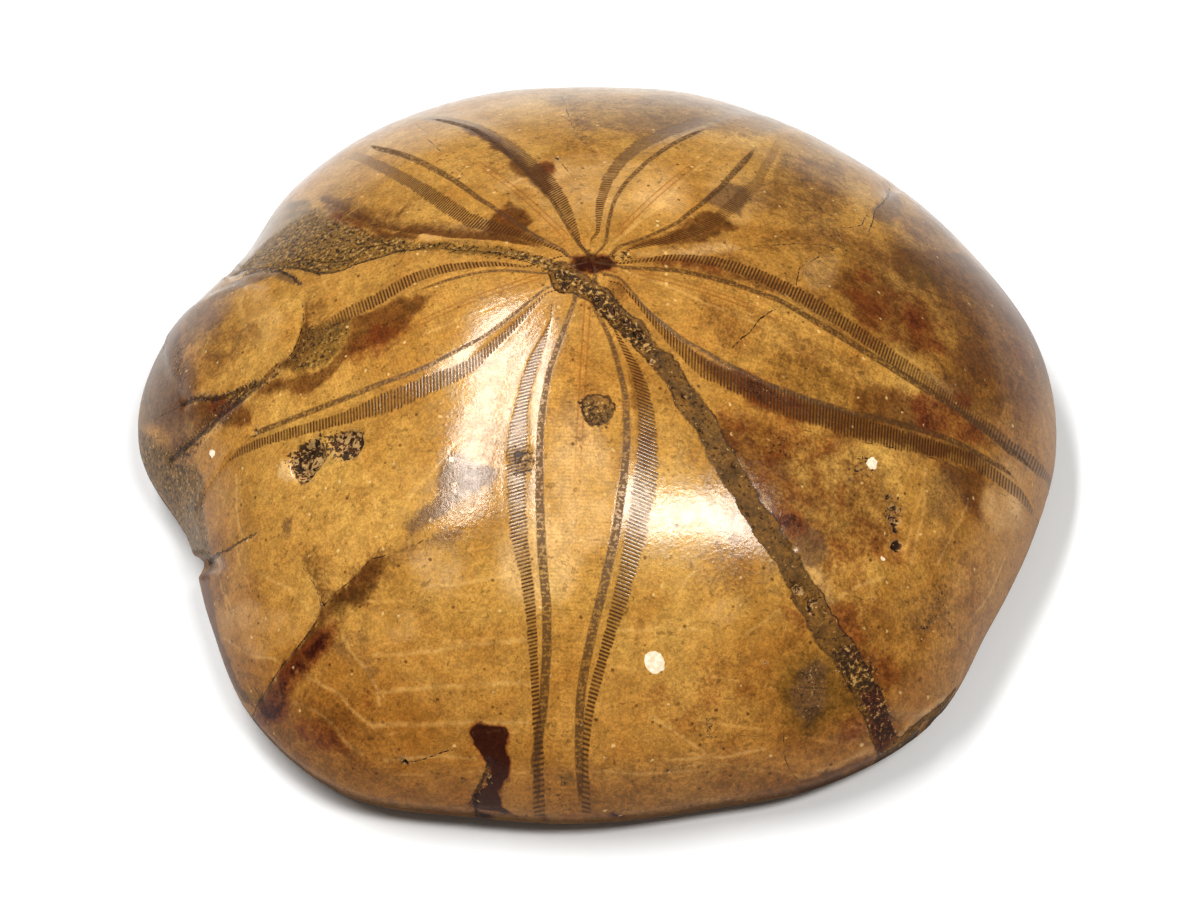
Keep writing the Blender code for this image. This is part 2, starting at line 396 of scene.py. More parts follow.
def smoothed(at, known, values, reach=2.5):
    """Local straight-line fit: near values weigh most, by a bell curve of the given reach."""
    gap = known - at[:, None]
    weight = np.exp(-((gap / reach) ** 2)) + 1e-12
    total, first, second = weight.sum(1), (weight * gap).sum(1), (weight * gap * gap).sum(1)
    level, moment = (weight * values).sum(1), (weight * gap * values).sum(1)
    return (second * level - first * moment) / (total * second - first * first + 1e-9)


def comb_edges(comb):
    """Inner and outer picture edge of a comb: its middle moved half its width each way."""
    comb = np.array(comb, dtype=float)
    run = np.gradient(comb[:, :2], axis=0)
    run /= np.linalg.norm(run, axis=1, keepdims=True)
    out = np.stack([-run[:, 1], run[:, 0]], axis=1) * comb[:, 2:3] / 2.0
    return comb[:, :2] - out, comb[:, :2] + out


def row_tables(line, comb, direction, side):
    """Distance of line and comb edges from the petal's axis, at every step along it."""
    table = {}
    edges = comb_edges(comb)
    for name, points in (("line", line), ("one", edges[0]), ("two", edges[1])):
        along, across = along_across(on_map(points), direction)
        reached = np.clip(PETAL_STEPS, along.min(), along.max())
        table[name] = smoothed(reached, along, side * across)
    middle, _ = along_across(on_map(np.array(comb)[:, :2]), direction)
    order = np.argsort(middle)
    dark = np.array(comb, dtype=float)[order, 3]
    table["dark"] = np.interp(PETAL_STEPS, middle[order], dark, right=0.0)
    table["end"] = along_across(on_map(line), direction)[0].max()
    table["inner"] = np.minimum(table["one"], table["two"])
    table["outer"] = np.maximum(table["one"], table["two"])
    return table


petal_angles = np.radians([value[0] for value in PETALS.values()])
turned = (ANGLE[..., None] - petal_angles + np.pi) % (2.0 * np.pi) - np.pi
NEAREST_PETAL = np.abs(turned).argmin(axis=-1)
pore_offset, comb_place, comb_dark = (np.full(ANGLE.shape, NOWHERE_NEAR) for _ in range(3))
petal_along, petal_across, petal_side = (np.zeros(ANGLE.shape) for _ in range(3))
slit_along, line_width = np.zeros(ANGLE.shape), np.zeros(ANGLE.shape)
for index, (name, (degrees, left, right)) in enumerate(PETALS.items()):
    along, across = along_across(MAP, np.radians(degrees))
    for side, (line, comb, lean, width) in ((1.0, left), (-1.0, right)):
        here = (NEAREST_PETAL == index) & (side * across >= 0.0)
        rows = row_tables(line, comb, np.radians(degrees), side)
        at = {key: np.interp(along[here], PETAL_STEPS, rows[key]) for key in
              ("line", "inner", "outer", "dark")}
        away = np.abs(across[here])
        pore_offset[here] = away - at["line"]
        comb_place[here] = (away - at["inner"]) / np.maximum(at["outer"] - at["inner"], 0.15)
        comb_dark[here] = at["dark"]
        petal_along[here], petal_across[here], petal_side[here] = along[here], away, side
        slit_along[here] = along[here] - lean * np.clip(away - at["inner"], -0.5, 4.0)
        line_width[here] = width * (1.0 - ease(along[here], rows["end"] - 7.0, rows["end"] + 1.0))
    print(name, "petal reaches", round(rows["end"], 1), "mm")

pitch = SLIT_PITCH + (RIM_SLIT_PITCH - SLIT_PITCH) * ease(PETAL_STEPS, 42.0, 58.0)
slit_number = np.interp(slit_along, PETAL_STEPS, (PETAL_STEP / pitch).cumsum())

# %% [markdown]
# Olive sediment fills the wide breaks: a long vein from the apex to the front right of the
# rim, a strip along the rim there, and a round spot in the front petal. It was polished flush
# with the stone. Each is outlined by picture points, and every grid point gets its signed
# distance to the nearest outline, which the material cuts to a crisp edge. A painted mask
# would blur at the mesh's own spacing; a distance stays sharp between points. The band at the
# back left, the patch at the left rim and the strip at the top fade out at their edges, so
# they are left to the stains below.

# %% Sediment outlines
MAIN_VEIN = [(548, 272), (552, 284), (560, 292), (572, 293), (580, 297), (590, 300), (597, 306),
             (603, 314), (610, 322), (618, 330), (628, 340), (640, 350), (650, 362), (660, 375),
             (668, 388), (673, 400), (680, 410), (688, 420), (697, 436), (709, 457), (720, 477),
             (734, 497), (742, 514), (759, 541), (770, 556), (781, 573), (792, 592), (800, 612),
             (808, 628), (815, 640), (828, 655), (838, 668), (850, 690), (858, 705), (866, 722),
             (872, 740), (878, 756), (894, 750), (896, 738), (892, 722), (886, 705), (878, 690),
             (872, 678), (864, 664), (856, 650), (846, 636), (836, 620), (828, 606), (818, 590),
             (806, 571), (789, 542), (775, 520), (764, 506), (749, 476), (740, 462), (731, 448),
             (722, 432), (712, 415), (704, 405), (698, 395), (688, 380), (678, 364), (668, 350),
             (657, 347), (652, 338), (645, 325), (635, 318), (622, 305), (610, 292), (597, 283),
             (585, 276), (575, 268), (560, 262)]
BACK_LEFT_BAND = [(414, 241), (440, 242), (470, 243), (490, 243), (505, 245), (520, 249),
                  (535, 252), (550, 256), (566, 260), (572, 268), (560, 272), (545, 267),
                  (525, 259), (505, 255), (480, 253), (450, 251), (430, 249), (412, 249)]
LEFT_RIM_PATCH = [(130, 424), (150, 436), (165, 450), (178, 458), (193, 463), (203, 470),
                  (206, 485), (204, 507), (208, 542), (205, 572), (192, 560), (176, 530),
                  (160, 500), (140, 470)]
FRONT_RIGHT_RIM = [(878, 752), (896, 740), (918, 724), (938, 706), (957, 686), (964, 690),
                   (948, 708), (925, 730), (903, 748), (882, 760)]
ROUND_SPOT = [(582, 402), (587, 397), (600, 396), (610, 400), (613, 408), (612, 418), (605, 425),
              (592, 425), (584, 418)]
TOP_STRIP = [(566, 90), (582, 93), (602, 95), (640, 93), (700, 94), (724, 98), (704, 90),
             (640, 86), (600, 84), (568, 84)]
SEDIMENT = (MAIN_VEIN, FRONT_RIGHT_RIM, ROUND_SPOT)
FAR_OFF = 1e3


def wavered(size, amount):
    """The flat map shifted by noise, which makes straight outlines irregular. Past the rim it
    stays at the rim's own distance, so that what reaches the rim carries on over the edge."""
    shifts = [
        rough(BODY, size, seed) + 0.5 * rough(BODY, size / 2.5, seed)
        + 0.3 * rough(BODY, size / 6.0, seed)
        for seed in (2.0, 11.0)
    ]
    held = MAP * (np.minimum(ALONG, RIM_ALONG) / ALONG)[..., None]
    return held + amount * np.stack(shifts, axis=-1)


def to_segments(spread, corners, closed):
    """Distance from every map point to the nearest segment, and the point's signed distance
    from that segment's own straight line, which is positive on its left."""
    ends = np.roll(corners, -1, axis=0) if closed else corners[1:]
    starts = corners if closed else corners[:-1]
    best, side = np.full(spread.shape[:2], FAR_OFF), np.zeros(spread.shape[:2])
    for a, b in zip(starts, ends):
        run = b - a
        part = np.clip(((spread - a) @ run) / (run @ run + 1e-9), 0.0, 1.0)
        gap = spread - a - part[..., None] * run
        distance = np.hypot(gap[..., 0], gap[..., 1])
        nearer = distance < best
        turn = run[0] * (spread[..., 1] - a[1]) - run[1] * (spread[..., 0] - a[0])
        side = np.where(nearer, turn / np.hypot(*run), side)
        best = np.minimum(best, distance)
    return best, side


def signed_gap(spread, outline):
    """Distance to a closed outline, negative inside. A point is inside when an odd number of
    sides crosses the line from it to the right."""
    corners = on_map(outline)
    odd = np.zeros(spread.shape[:2], dtype=bool)
    for a, b in zip(corners, np.roll(corners, -1, axis=0)):
        spans = (a[1] > spread[..., 1]) != (b[1] > spread[..., 1])
        slope = (b[0] - a[0]) / (b[1] - a[1] + 1e-12)
        odd ^= spans & (spread[..., 0] < a[0] + slope * (spread[..., 1] - a[1]))
    distance, _ = to_segments(spread, corners, closed=True)
    return np.where(odd, -distance, distance)


LIGHTLY_WAVERED, WELL_WAVERED = wavered(2.5, 0.15), wavered(4.0, 0.7)
sediment_edge = np.minimum.reduce([signed_gap(LIGHTLY_WAVERED, outline) for outline in SEDIMENT])
print("sediment covers", round(100.0 * float((sediment_edge < 0).mean()), 1), "% of the grid points")

# %% [markdown]
# Hairline cracks are open lines of picture points with a half-width in millimetres. For those
# the signed offset from the line is kept as well as the plain distance: the offset crosses
# zero on the line, so the material can draw a line that is thinner than the mesh. Pale lines
# are healed seams and scratches, drawn in the same way.

# %% Cracks and pale lines
# half-width, then the picture points
CRACKS = [
    (0.05, [(428, 538), (415, 545), (400, 550), (385, 556), (370, 560), (362, 568)]),
    (0.08, [(362, 568), (355, 577), (345, 585), (335, 594), (325, 603), (320, 612)]),
    (0.12, [(320, 612), (316, 622), (308, 635), (297, 648), (285, 662), (275, 675), (265, 690),
            (258, 702), (253, 714)]),
    (0.20, [(405, 249), (392, 252), (378, 257), (360, 262), (345, 268), (330, 272), (318, 273),
            (305, 269), (290, 267), (270, 267), (255, 269), (240, 270), (232, 272)]),
    (0.10, [(350, 260), (325, 262), (305, 259), (290, 263)]),
    (0.26, [(246, 274), (262, 270), (280, 271), (292, 276), (299, 282)]),
    # the next crack, along the lower edge of the raised left plate, is partly a real crack and partly
    # painted shadow below the plate's step
    (0.42, [(262, 384), (250, 387), (240, 390), (228, 394), (215, 398), (200, 398), (190, 400),
            (183, 404)]),
    (0.10, [(183, 404), (170, 411), (158, 418)]),
    (0.40, [(256, 390), (245, 397), (235, 405), (222, 415), (210, 428), (197, 437), (185, 448),
            (172, 458)]),
    (0.10, [(303, 310), (304, 322), (301, 335), (297, 345), (293, 354), (283, 361), (272, 371),
            (262, 384)]),
    (0.22, [(200, 563), (215, 556), (230, 548), (240, 542), (252, 536)]),
    (0.08, [(306, 573), (314, 584), (318, 596), (321, 610)]),
    (0.24, [(487, 764), (484, 780), (478, 790), (473, 800), (470, 826)]),
    (0.08, [(735, 345), (750, 333), (758, 322), (775, 310)]),
    (0.11, [(891, 188), (889, 195), (882, 203), (875, 212), (873, 222), (870, 230)]),
    (0.08, [(833, 222), (840, 227), (850, 227), (862, 224), (868, 214)]),
    (0.08, [(834, 224), (838, 233), (845, 242)]),
    (0.07, [(797, 280), (800, 268), (812, 260), (828, 253), (838, 247)]),
    (0.07, [(784, 726), (784, 755), (790, 772), (799, 783)]),
    (0.05, [(562, 98), (567, 112), (573, 126), (578, 136), (583, 142)]),
    (0.05, [(449, 166), (455, 170), (462, 175), (470, 183), (478, 188), (484, 190)]),
    (0.05, [(430, 143), (436, 149), (440, 153)]), (0.05, [(417, 126), (424, 133), (429, 135)]),
    (0.05, [(556, 157), (563, 163), (568, 170), (571, 175)]),
    (0.06, [(746, 249), (770, 245), (799, 243), (820, 245), (841, 247)]),
    (0.07, [(385, 243), (410, 250), (440, 248), (470, 250), (500, 254), (525, 261), (548, 270)]),
    (0.09, [(404, 764), (418, 762), (430, 757), (447, 752)]),
    (0.08, [(255, 690), (262, 700), (268, 712)]), (0.05, [(700, 737), (740, 737), (765, 735)]),
    (0.05, [(810, 688), (830, 688)]),
    (0.05, [(800, 430), (840, 439), (880, 446), (917, 453), (950, 464), (985, 484), (1020, 507),
            (1040, 524)]),
]
PALE_LINES = [
    (0.14, [(482, 434), (462, 440), (448, 455), (438, 467), (426, 480), (413, 494)]),
    (0.10, [(470, 430), (490, 436), (504, 442)]), (0.10, [(446, 455), (470, 461), (500, 466)]),
    (0.13, [(378, 654), (400, 653), (440, 650), (480, 643), (524, 640)]),
    (0.13, [(380, 692), (420, 688), (475, 685), (532, 683)]),
    (0.16, [(374, 726), (400, 724), (440, 724), (480, 723), (522, 723)]),
    (0.12, [(345, 640), (352, 655), (366, 668), (377, 688), (378, 700)]),
    (0.12, [(300, 674), (320, 684), (340, 694), (352, 710), (368, 724)]),
    (0.12, [(296, 704), (318, 712), (334, 724), (345, 742), (358, 752)]),
    (0.10, [(432, 586), (460, 584), (490, 578), (516, 574)]),
    (0.10, [(390, 760), (420, 757), (450, 757), (470, 758)]),
    (0.10, [(236, 480), (236, 510), (240, 532)]), (0.10, [(214, 560), (222, 590), (232, 612)]),
    (0.10, [(260, 575), (290, 590), (310, 612)]), (0.10, [(225, 640), (250, 655), (275, 660)]),
    (0.12, [(545, 571), (551, 588), (558, 605), (564, 618)]),
    (0.10, [(656, 720), (668, 727), (682, 737), (700, 750)]),
    (0.09, [(747, 634), (760, 625), (776, 613)]), (0.08, [(682, 588), (686, 580), (691, 574)]),
    (0.10, [(626, 232), (645, 216), (662, 203), (690, 176), (712, 158), (738, 134)]),
    (0.10, [(618, 240), (640, 222), (662, 207)]),
    (0.10, [(548, 288), (520, 298), (490, 310), (460, 322), (430, 334)]),
    (0.09, [(630, 272), (660, 285), (700, 303), (740, 320), (800, 345)]),
    (0.13, [(836, 446), (835, 470), (833, 512)]),
    (0.12, [(926, 470), (922, 520), (912, 560)]), (0.11, [(968, 505), (955, 530), (940, 560)]),
    (0.12, [(842, 596), (860, 585), (880, 580)]), (0.10, [(1004, 560), (992, 590), (975, 615)]),
    (0.10, [(680, 760), (720, 758), (760, 750)]), (0.10, [(600, 772), (640, 775), (690, 772)]),
    (0.10, [(620, 632), (660, 628), (700, 630)]),
    (0.20, [(246, 290), (240, 310), (250, 335), (264, 350)]),
    (0.10, [(996, 430), (1010, 400), (1022, 370)]),
    (0.14, [(508, 190), (514, 185), (520, 181), (528, 180)]),
    (0.16, [(511, 194), (512, 204), (506, 216)]),
]


def nearest_line(spread, lines):
    """Signed offset, distance and half-width of the nearest line at every grid point."""
    offset, best, width = (np.full(ALONG.shape, v) for v in (NOWHERE_NEAR, FAR_OFF, 0.1))
    for half, points in lines:
        distance, side = to_segments(spread, on_map(points), closed=False)
        nearer = distance < best
        offset, width = np.where(nearer, side, offset), np.where(nearer, half, width)
        best = np.minimum(best, distance)
    return np.stack([offset, np.minimum(best, 5.0), width], axis=-1)


crack_line, pale_line = nearest_line(LIGHTLY_WAVERED, CRACKS), nearest_line(MAP, PALE_LINES)
print(len(CRACKS), "cracks,", len(PALE_LINES), "pale lines")

# %% [markdown]
# A healed break that dips into the clear stone shows as a sharp edge on one side and a shade
# that fades away on the other. A line alone would be too even, so each break is a line with
# a shaded side, and the shade is worked out from the distance to it.

# %% Faults
# side of the shade (1 for the left hand when walking along the line on the flat map, and -1 for
# the right), its reach in millimetres, its amount, then the picture points
FAULTS = [
    (1.0, 1.6, 0.50, [(455, 528), (428, 538), (400, 548), (380, 556), (362, 568)]),
    (1.0, 3.0, 0.95, [(362, 568), (350, 581), (335, 594), (325, 603), (320, 612), (316, 622),
                      (308, 635), (297, 648), (285, 662), (275, 675), (265, 690), (258, 702),
                      (253, 714)]),
    (1.0, 2.2, 0.75, [(306, 571), (314, 584), (319, 596), (321, 610)]),
    (1.0, 2.0, 0.95, [(322, 202), (334, 208), (346, 214), (363, 222), (385, 230), (414, 234),
                      (450, 238), (490, 240), (520, 244)]),
    (1.0, 2.5, 0.60, [(303, 308), (304, 322), (301, 335), (297, 345), (293, 354), (283, 361),
                       (272, 371), (262, 384)]),
    (1.0, 2.0, 0.65, [(404, 205), (396, 214), (390, 225)]),
    (-1.0, 6.0, 0.62, [(184, 318), (182, 345), (184, 370), (183, 400)]),
    (1.0, 1.2, 0.25, [(566, 102), (576, 126), (586, 146), (592, 156)]),
]


def shade_beside(lines):
    """Strongest amount * exp(-(distance / reach)^1.5) on each line's shaded side."""
    shade = np.zeros(ALONG.shape)
    for hand, reach, amount, points in lines:
        distance, side = to_segments(LIGHTLY_WAVERED, on_map(points), closed=False)
        shaded_side = ease(hand * side, -0.12, 0.12)
        shade = np.maximum(shade, amount * shaded_side * np.exp(-((distance / reach) ** 1.5)))
    return shade * ON_TOP


fault = shade_beside(FAULTS)
print(len(FAULTS), "faults")

# %% [markdown]
# Stains, crumbly spots and pits are soft-edged patches. Noise alone would put them anywhere,
# so each has its own place. A round one is an ellipse in the picture: centre, half-sizes, turn
# in degrees and amount. An irregular one is an amount, a softness in millimetres and an
# outline. Pits and crumbs come first, because they also shape the surface.

# %% Pits and crumbs
# a pit's amount is its depth in millimetres
PITS = [
    (1.2, 0.5, [(292, 458), (300, 448), (315, 440), (322, 446), (324, 458), (318, 466), (308, 478),
                (300, 481), (296, 472)]),
    (0.8, 0.5, [(330, 440), (338, 434), (350, 430), (360, 432), (362, 445), (355, 455), (345, 460),
                (338, 452)]),
    (565, 270, 4, 4, 0, .6), (556, 274, 5, 3, 0, .5), (563, 286, 6, 4, 0, .7), (596, 298, 4, 4, 0, .6),
    (612, 312, 7, 6, 40, .7), (628, 322, 6, 5, 40, .7), (640, 333, 7, 6, 40, .8),
    (652, 360, 4, 5, 30, .7), (684, 396, 4, 3, 0, .5), (700, 430, 3, 3, 0, .4), (404, 764, 3, 3, 0, .6),
    (257, 431, 3, 5, 0, .5), (898, 547, 7, 6, 30, .7), (888, 497, 4, 3, 0, .5), (901, 510, 3, 3, 0, .4),
    (893, 508, 5, 4, 0, .5), (890, 516, 4, 3, 0, .45), (896, 522, 6, 6, 0, .6), (896, 532, 3, 2, 0, .5),
    (866, 458, 4, 2, 0, .4), (857, 470, 4, 3, -30, .4), (850, 480, 2, 3, 0, .4), (877, 470, 2, 3, 0, .4),
    (872, 598, 3, 3, 0, .4), (558, 156, 3, 3, 0, .5), (799, 590, 5, 8, -35, .7), (812, 602, 5, 4, 0, .7),
    (810, 613, 4, 4, 0, .6), (827, 613, 3, 3, 0, .5), (736, 467, 3, 2, 0, .4), (790, 548, 3, 3, 0, .4),
    (708, 725, 4, 4, 0, .3), (764, 662, 3, 2, 0, .3), (835, 746, 3, 4, 0, .3),
]
GRIT = [
    (1.0, 0.5, [(548, 270), (560, 265), (575, 272), (590, 283), (610, 292), (635, 318), (652, 338),
                (657, 350), (654, 366), (640, 350), (618, 330), (603, 314), (590, 300), (572, 293),
                (555, 290)]),
    (0.9, 0.8, [(828, 650), (845, 640), (860, 648), (872, 664), (876, 684), (890, 706), (897, 736),
                (876, 742), (864, 720), (856, 704), (842, 684), (830, 664)]),
    (0.6, 0.8, LEFT_RIM_PATCH),
    (0.72, 0.8, [(240, 268), (262, 244), (290, 222), (318, 210), (350, 225), (372, 236), (414, 240),
                 (480, 244), (520, 250), (560, 260), (545, 268), (500, 255), (405, 249), (360, 262),
                 (320, 272)]),
    (0.8, 0.6, [(500, 250), (530, 250), (552, 258), (548, 266), (525, 260), (505, 256)]),
    (0.5, 0.4, BACK_LEFT_BAND),
    (0.55, 0.7, [(304, 328), (325, 322), (345, 322), (350, 336), (330, 362), (305, 374), (286, 370),
                 (298, 350)]),
    (0.8, 0.5, [(290, 458), (300, 446), (316, 438), (340, 430), (362, 430), (364, 448), (346, 462),
                (324, 462), (308, 480), (296, 478)]),
    (0.8, 0.5, [(510, 455), (520, 446), (536, 443), (541, 456), (536, 470), (524, 476), (514, 470)]),
    (0.7, 0.3, ROUND_SPOT), (0.5, 0.8, [(232, 688), (245, 700), (258, 706), (256, 716), (240, 712)]),
    (222, 414, 36, 8, -38, .7), (190, 445, 20, 8, -38, .9), (894, 512, 10, 22, 0, .35),
    (935, 615, 24, 24, 0, .3), (480, 795, 6, 26, 15, .9), (864, 468, 14, 10, 0, .5),
    (712, 725, 9, 9, 0, .5), (620, 256, 8, 6, 0, .8), (760, 392, 24, 8, 20, .3),
    (275, 377, 18, 4, -38, .7), (182, 365, 5, 28, 0, .5), (780, 445, 30, 14, 10, .3),
    (870, 700, 12, 30, -25, .5), (808, 690, 10, 26, 0, .4), (564, 790, 5, 26, 0, .4),
]
print(len(PITS), "pits,", len(GRIT), "crumbly patches")

# %% [markdown]
# Iron left rust and maroon stains, mostly where the petals meet, beside the vein and at the
# foot of the front petal. Most have outlines; faint ones are ellipses.

# %% Iron stains
IRON = [
    (1.3, 0.35, [(466, 729), (476, 724), (488, 727), (497, 724), (509, 724), (511, 742), (505, 750),
                 (510, 762), (507, 778), (500, 790), (504, 802), (516, 812), (540, 815), (600, 817),
                 (640, 816), (640, 826), (560, 832), (474, 832), (472, 808), (480, 792), (485, 778),
                 (486, 764), (478, 756), (470, 745)]),
    (.72, 0.9, [(345, 618), (340, 632), (328, 648), (316, 662), (305, 677), (292, 692), (288, 708),
                (280, 722), (262, 724), (254, 716), (262, 704), (272, 690), (285, 672), (298, 655),
                (312, 640), (324, 626), (334, 617)]),
    (.55, 1.0, [(293, 720), (305, 716), (320, 724), (335, 734), (348, 745), (335, 754), (315, 746),
                (298, 735)]),
    (.35, 1.2, [(355, 688), (372, 684), (386, 700), (376, 716), (362, 712)]),
    (.95, 0.5, [(571, 253), (578, 250), (590, 251), (598, 250), (606, 251), (613, 255), (618, 262),
                (614, 269), (606, 273), (598, 272), (590, 270), (583, 272), (575, 268), (570, 262)]),
    (.90, 0.5, [(857, 705), (866, 690), (876, 688), (886, 700), (893, 720), (896, 737), (877, 741),
                (868, 725)]),
    (.50, 1.0, [(897, 386), (915, 392), (940, 402), (960, 411), (985, 426), (1001, 441), (990, 450),
                (965, 448), (940, 436), (917, 426), (905, 411)]),
    (.66, 0.6, [(773, 512), (785, 509), (800, 511), (806, 522), (806, 531), (796, 536), (786, 529),
                (778, 522)]),
    (.66, 0.7, [(728, 368), (742, 374), (770, 386), (800, 396), (806, 410), (786, 414), (756, 404),
                (736, 390)]),
    (.42, 0.9, [(526, 168), (536, 164), (550, 158), (556, 160), (551, 170), (541, 178), (529, 176)]),
    (.55, 0.8, [(830, 604), (844, 600), (858, 606), (862, 622), (868, 640), (852, 646), (838, 628)]),
    (.50, 0.9, [(775, 600), (790, 605), (806, 612), (812, 622), (806, 635), (794, 626), (780, 613)]),
    (.45, 1.0, [(838, 725), (860, 721), (870, 736), (852, 743), (840, 739)]),
    (.95, 0.6, [(856, 694), (874, 690), (884, 706), (896, 740), (880, 756), (866, 724)]),
    (876, 668, 22, 20, 30, .40), (933, 348, 13, 8, 15, .6), (941, 322, 9, 6, 0, .5),
    (867, 275, 12, 8, 20, .45), (915, 330, 9, 30, -8, .45), (962, 404, 12, 8, 20, .35),
    (508, 212, 9, 14, 10, .3), (1015, 340, 16, 30, 20, .25),
    (690, 266, 34, 8, 12, .4), (380, 343, 40, 14, -30, .35), (222, 408, 14, 10, 0, .45),
    (800, 470, 70, 80, -30, .28), (760, 420, 40, 20, 20, .32), (870, 560, 60, 60, 0, .24),
    (900, 320, 60, 44, 30, .30), (720, 700, 90, 60, 0, .20), (960, 580, 50, 60, 0, .12),
    (850, 650, 14, 10, 0, .5), (350, 225, 30, 5, 28, .45),
]
print(len(IRON), "iron stains")

# %% [markdown]
# Brown is the commonest stain: it follows the breaks and the petals' rows, and clouds the
# right-hand side and the rim.

# %% Brown stains
BROWN = [
    (.85, 0.6, [(345, 320), (365, 318), (385, 308), (402, 300), (422, 296), (434, 300), (426, 315),
                (412, 325), (400, 335), (385, 345), (370, 352), (355, 360), (341, 372), (329, 385),
                (318, 395), (304, 396), (292, 393), (278, 391), (262, 396), (262, 389), (284, 379),
                (304, 376), (321, 370), (336, 358), (346, 345), (350, 330)]),
    (.95, 0.5, [(414, 241), (398, 240), (378, 237), (358, 229), (338, 219), (324, 208), (331, 205),
                (346, 214), (363, 222), (385, 230), (414, 234)]),
    (.95, 0.6, [(187, 403), (200, 398), (222, 399), (240, 398), (252, 405), (257, 415), (254, 424),
                (240, 429), (226, 427), (215, 420), (205, 425), (195, 425), (188, 415)]),
    (1.0, 0.6, [(485, 222), (495, 216), (504, 213), (509, 203), (516, 207), (528, 211), (535, 220),
                (528, 230), (519, 235), (505, 237), (490, 232)]), (522, 197, 13, 8, 0, .5),
    (1.0, 0.6, [(462, 131), (475, 129), (487, 133), (500, 140), (512, 150), (522, 159), (532, 166),
                (548, 160), (554, 163), (549, 175), (549, 186), (552, 194), (549, 201), (541, 198),
                (533, 188), (522, 176), (510, 165), (498, 154), (485, 144), (472, 138)]),
    (.90, 0.8, [(690, 352), (730, 371), (760, 385), (800, 400), (840, 410), (870, 417), (905, 428),
                (940, 440), (978, 455), (975, 466), (940, 456), (900, 446), (860, 441), (820, 431),
                (790, 421), (760, 407), (730, 388), (700, 366)]),
    (.95, 1.6, [(938, 458), (960, 460), (988, 470), (984, 482), (974, 494), (981, 514), (980, 530),
                (968, 510), (955, 494), (944, 478)]),
    (.80, 0.7, [(714, 425), (733, 452), (750, 480), (766, 508), (780, 530), (792, 526), (776, 498),
                (760, 468), (744, 442), (726, 416)]),
    (.70, 1.2, [(722, 414), (760, 416), (784, 430), (800, 458), (812, 490), (816, 506), (796, 512),
                (770, 498), (748, 468), (730, 440)]),
    (.95, 1.0, [(890, 250), (925, 246), (962, 254), (1000, 276), (1030, 310), (1044, 350),
                (1020, 340), (990, 306), (950, 288), (905, 286), (892, 270)]),
    (.80, 1.2, [(860, 270), (880, 268), (905, 300), (925, 340), (930, 366), (905, 352), (880, 320),
                (862, 296)]),
    (.90, 0.5, [(618, 249), (640, 243), (662, 235), (682, 226), (700, 219), (716, 214), (738, 227),
                (722, 236), (700, 243), (670, 245), (640, 248)]),
    (.55, 0.8, [(655, 258), (690, 257), (722, 265), (752, 275), (792, 285), (782, 300), (742, 287),
                (700, 281), (668, 274)]),
    (.46, 1.5, [(690, 288), (740, 302), (790, 322), (830, 344), (870, 368), (915, 396), (900, 414),
                (860, 408), (815, 398), (770, 384), (730, 362), (700, 330)]),
    (.55, 1.0, [(745, 249), (790, 243), (830, 240), (870, 240), (905, 245), (945, 252), (976, 262),
                (970, 272), (930, 262), (890, 254), (850, 251), (800, 251), (770, 256)]),
    (1.2, 0.5, [(200, 562), (210, 575), (216, 610), (226, 650), (238, 682), (258, 714), (238, 708),
                (218, 680), (206, 650), (196, 610)]),
    (.95, 0.3, [(700, 812), (760, 798), (792, 788), (806, 778), (820, 770), (850, 760), (870, 753),
                (880, 764), (850, 780), (800, 796), (740, 812), (700, 822)]),
    (.70, 0.6, [(878, 690), (896, 706), (905, 722), (898, 738), (890, 720)]),
    (222, 357, 17, 14, 0, .5), (251, 336, 10, 10, 0, .6), (216, 373, 8, 8, 0, .4),
    (505, 170, 26, 14, 20, .35), (940, 430, 50, 20, 28, .45), (760, 455, 24, 26, -30, .3),
    (826, 500, 80, 60, 0, .62), (888, 410, 46, 26, 26, .84), (812, 640, 40, 36, 0, .26),
    (208, 575, 20, 44, 0, .45), (330, 500, 50, 30, 0, .22), (737, 562, 34, 36, 0, .34),
    (800, 570, 50, 50, 0, .28),
    (585, 414, 34, 36, 0, .34), (700, 262, 70, 30, 10, .34), (812, 188, 46, 40, 0, .54),
    (840, 290, 60, 40, 30, .45), (895, 290, 70, 50, 20, .75), (1010, 340, 60, 80, 0, .80),
    (1000, 420, 50, 60, 0, .46), (960, 290, 70, 46, 30, .75), (930, 230, 34, 30, 30, .6),
    (880, 640, 60, 70, 0, .42), (950, 620, 60, 80, 30, .32), (820, 720, 90, 34, 0, .42),
    (700, 790, 150, 34, 0, .42), (400, 790, 150, 34, 10, .20), (320, 740, 70, 44, 30, .45),
    (300, 620, 60, 60, 0, .12), (170, 380, 24, 80, 0, .75), (196, 320, 30, 44, -45, .55),
    (260, 600, 50, 70, 0, .16), (840, 420, 60, 22, 20, .5), (640, 400, 10, 46, -6, .40),
    (646, 450, 9, 30, 0, .50),
    (790, 196, 56, 24, 10, .55), (820, 240, 60, 14, 0, .5), (590, 140, 40, 14, 0, .2),
    (840, 172, 30, 16, 30, .25), (719, 543, 5, 5, 0, .6), (565, 780, 8, 30, 0, .25),
    (620, 290, 14, 12, 40, .45), (360, 575, 30, 20, -45, .3), (700, 470, 10, 40, -35, .30),
]
print(len(BROWN), "brown stains")
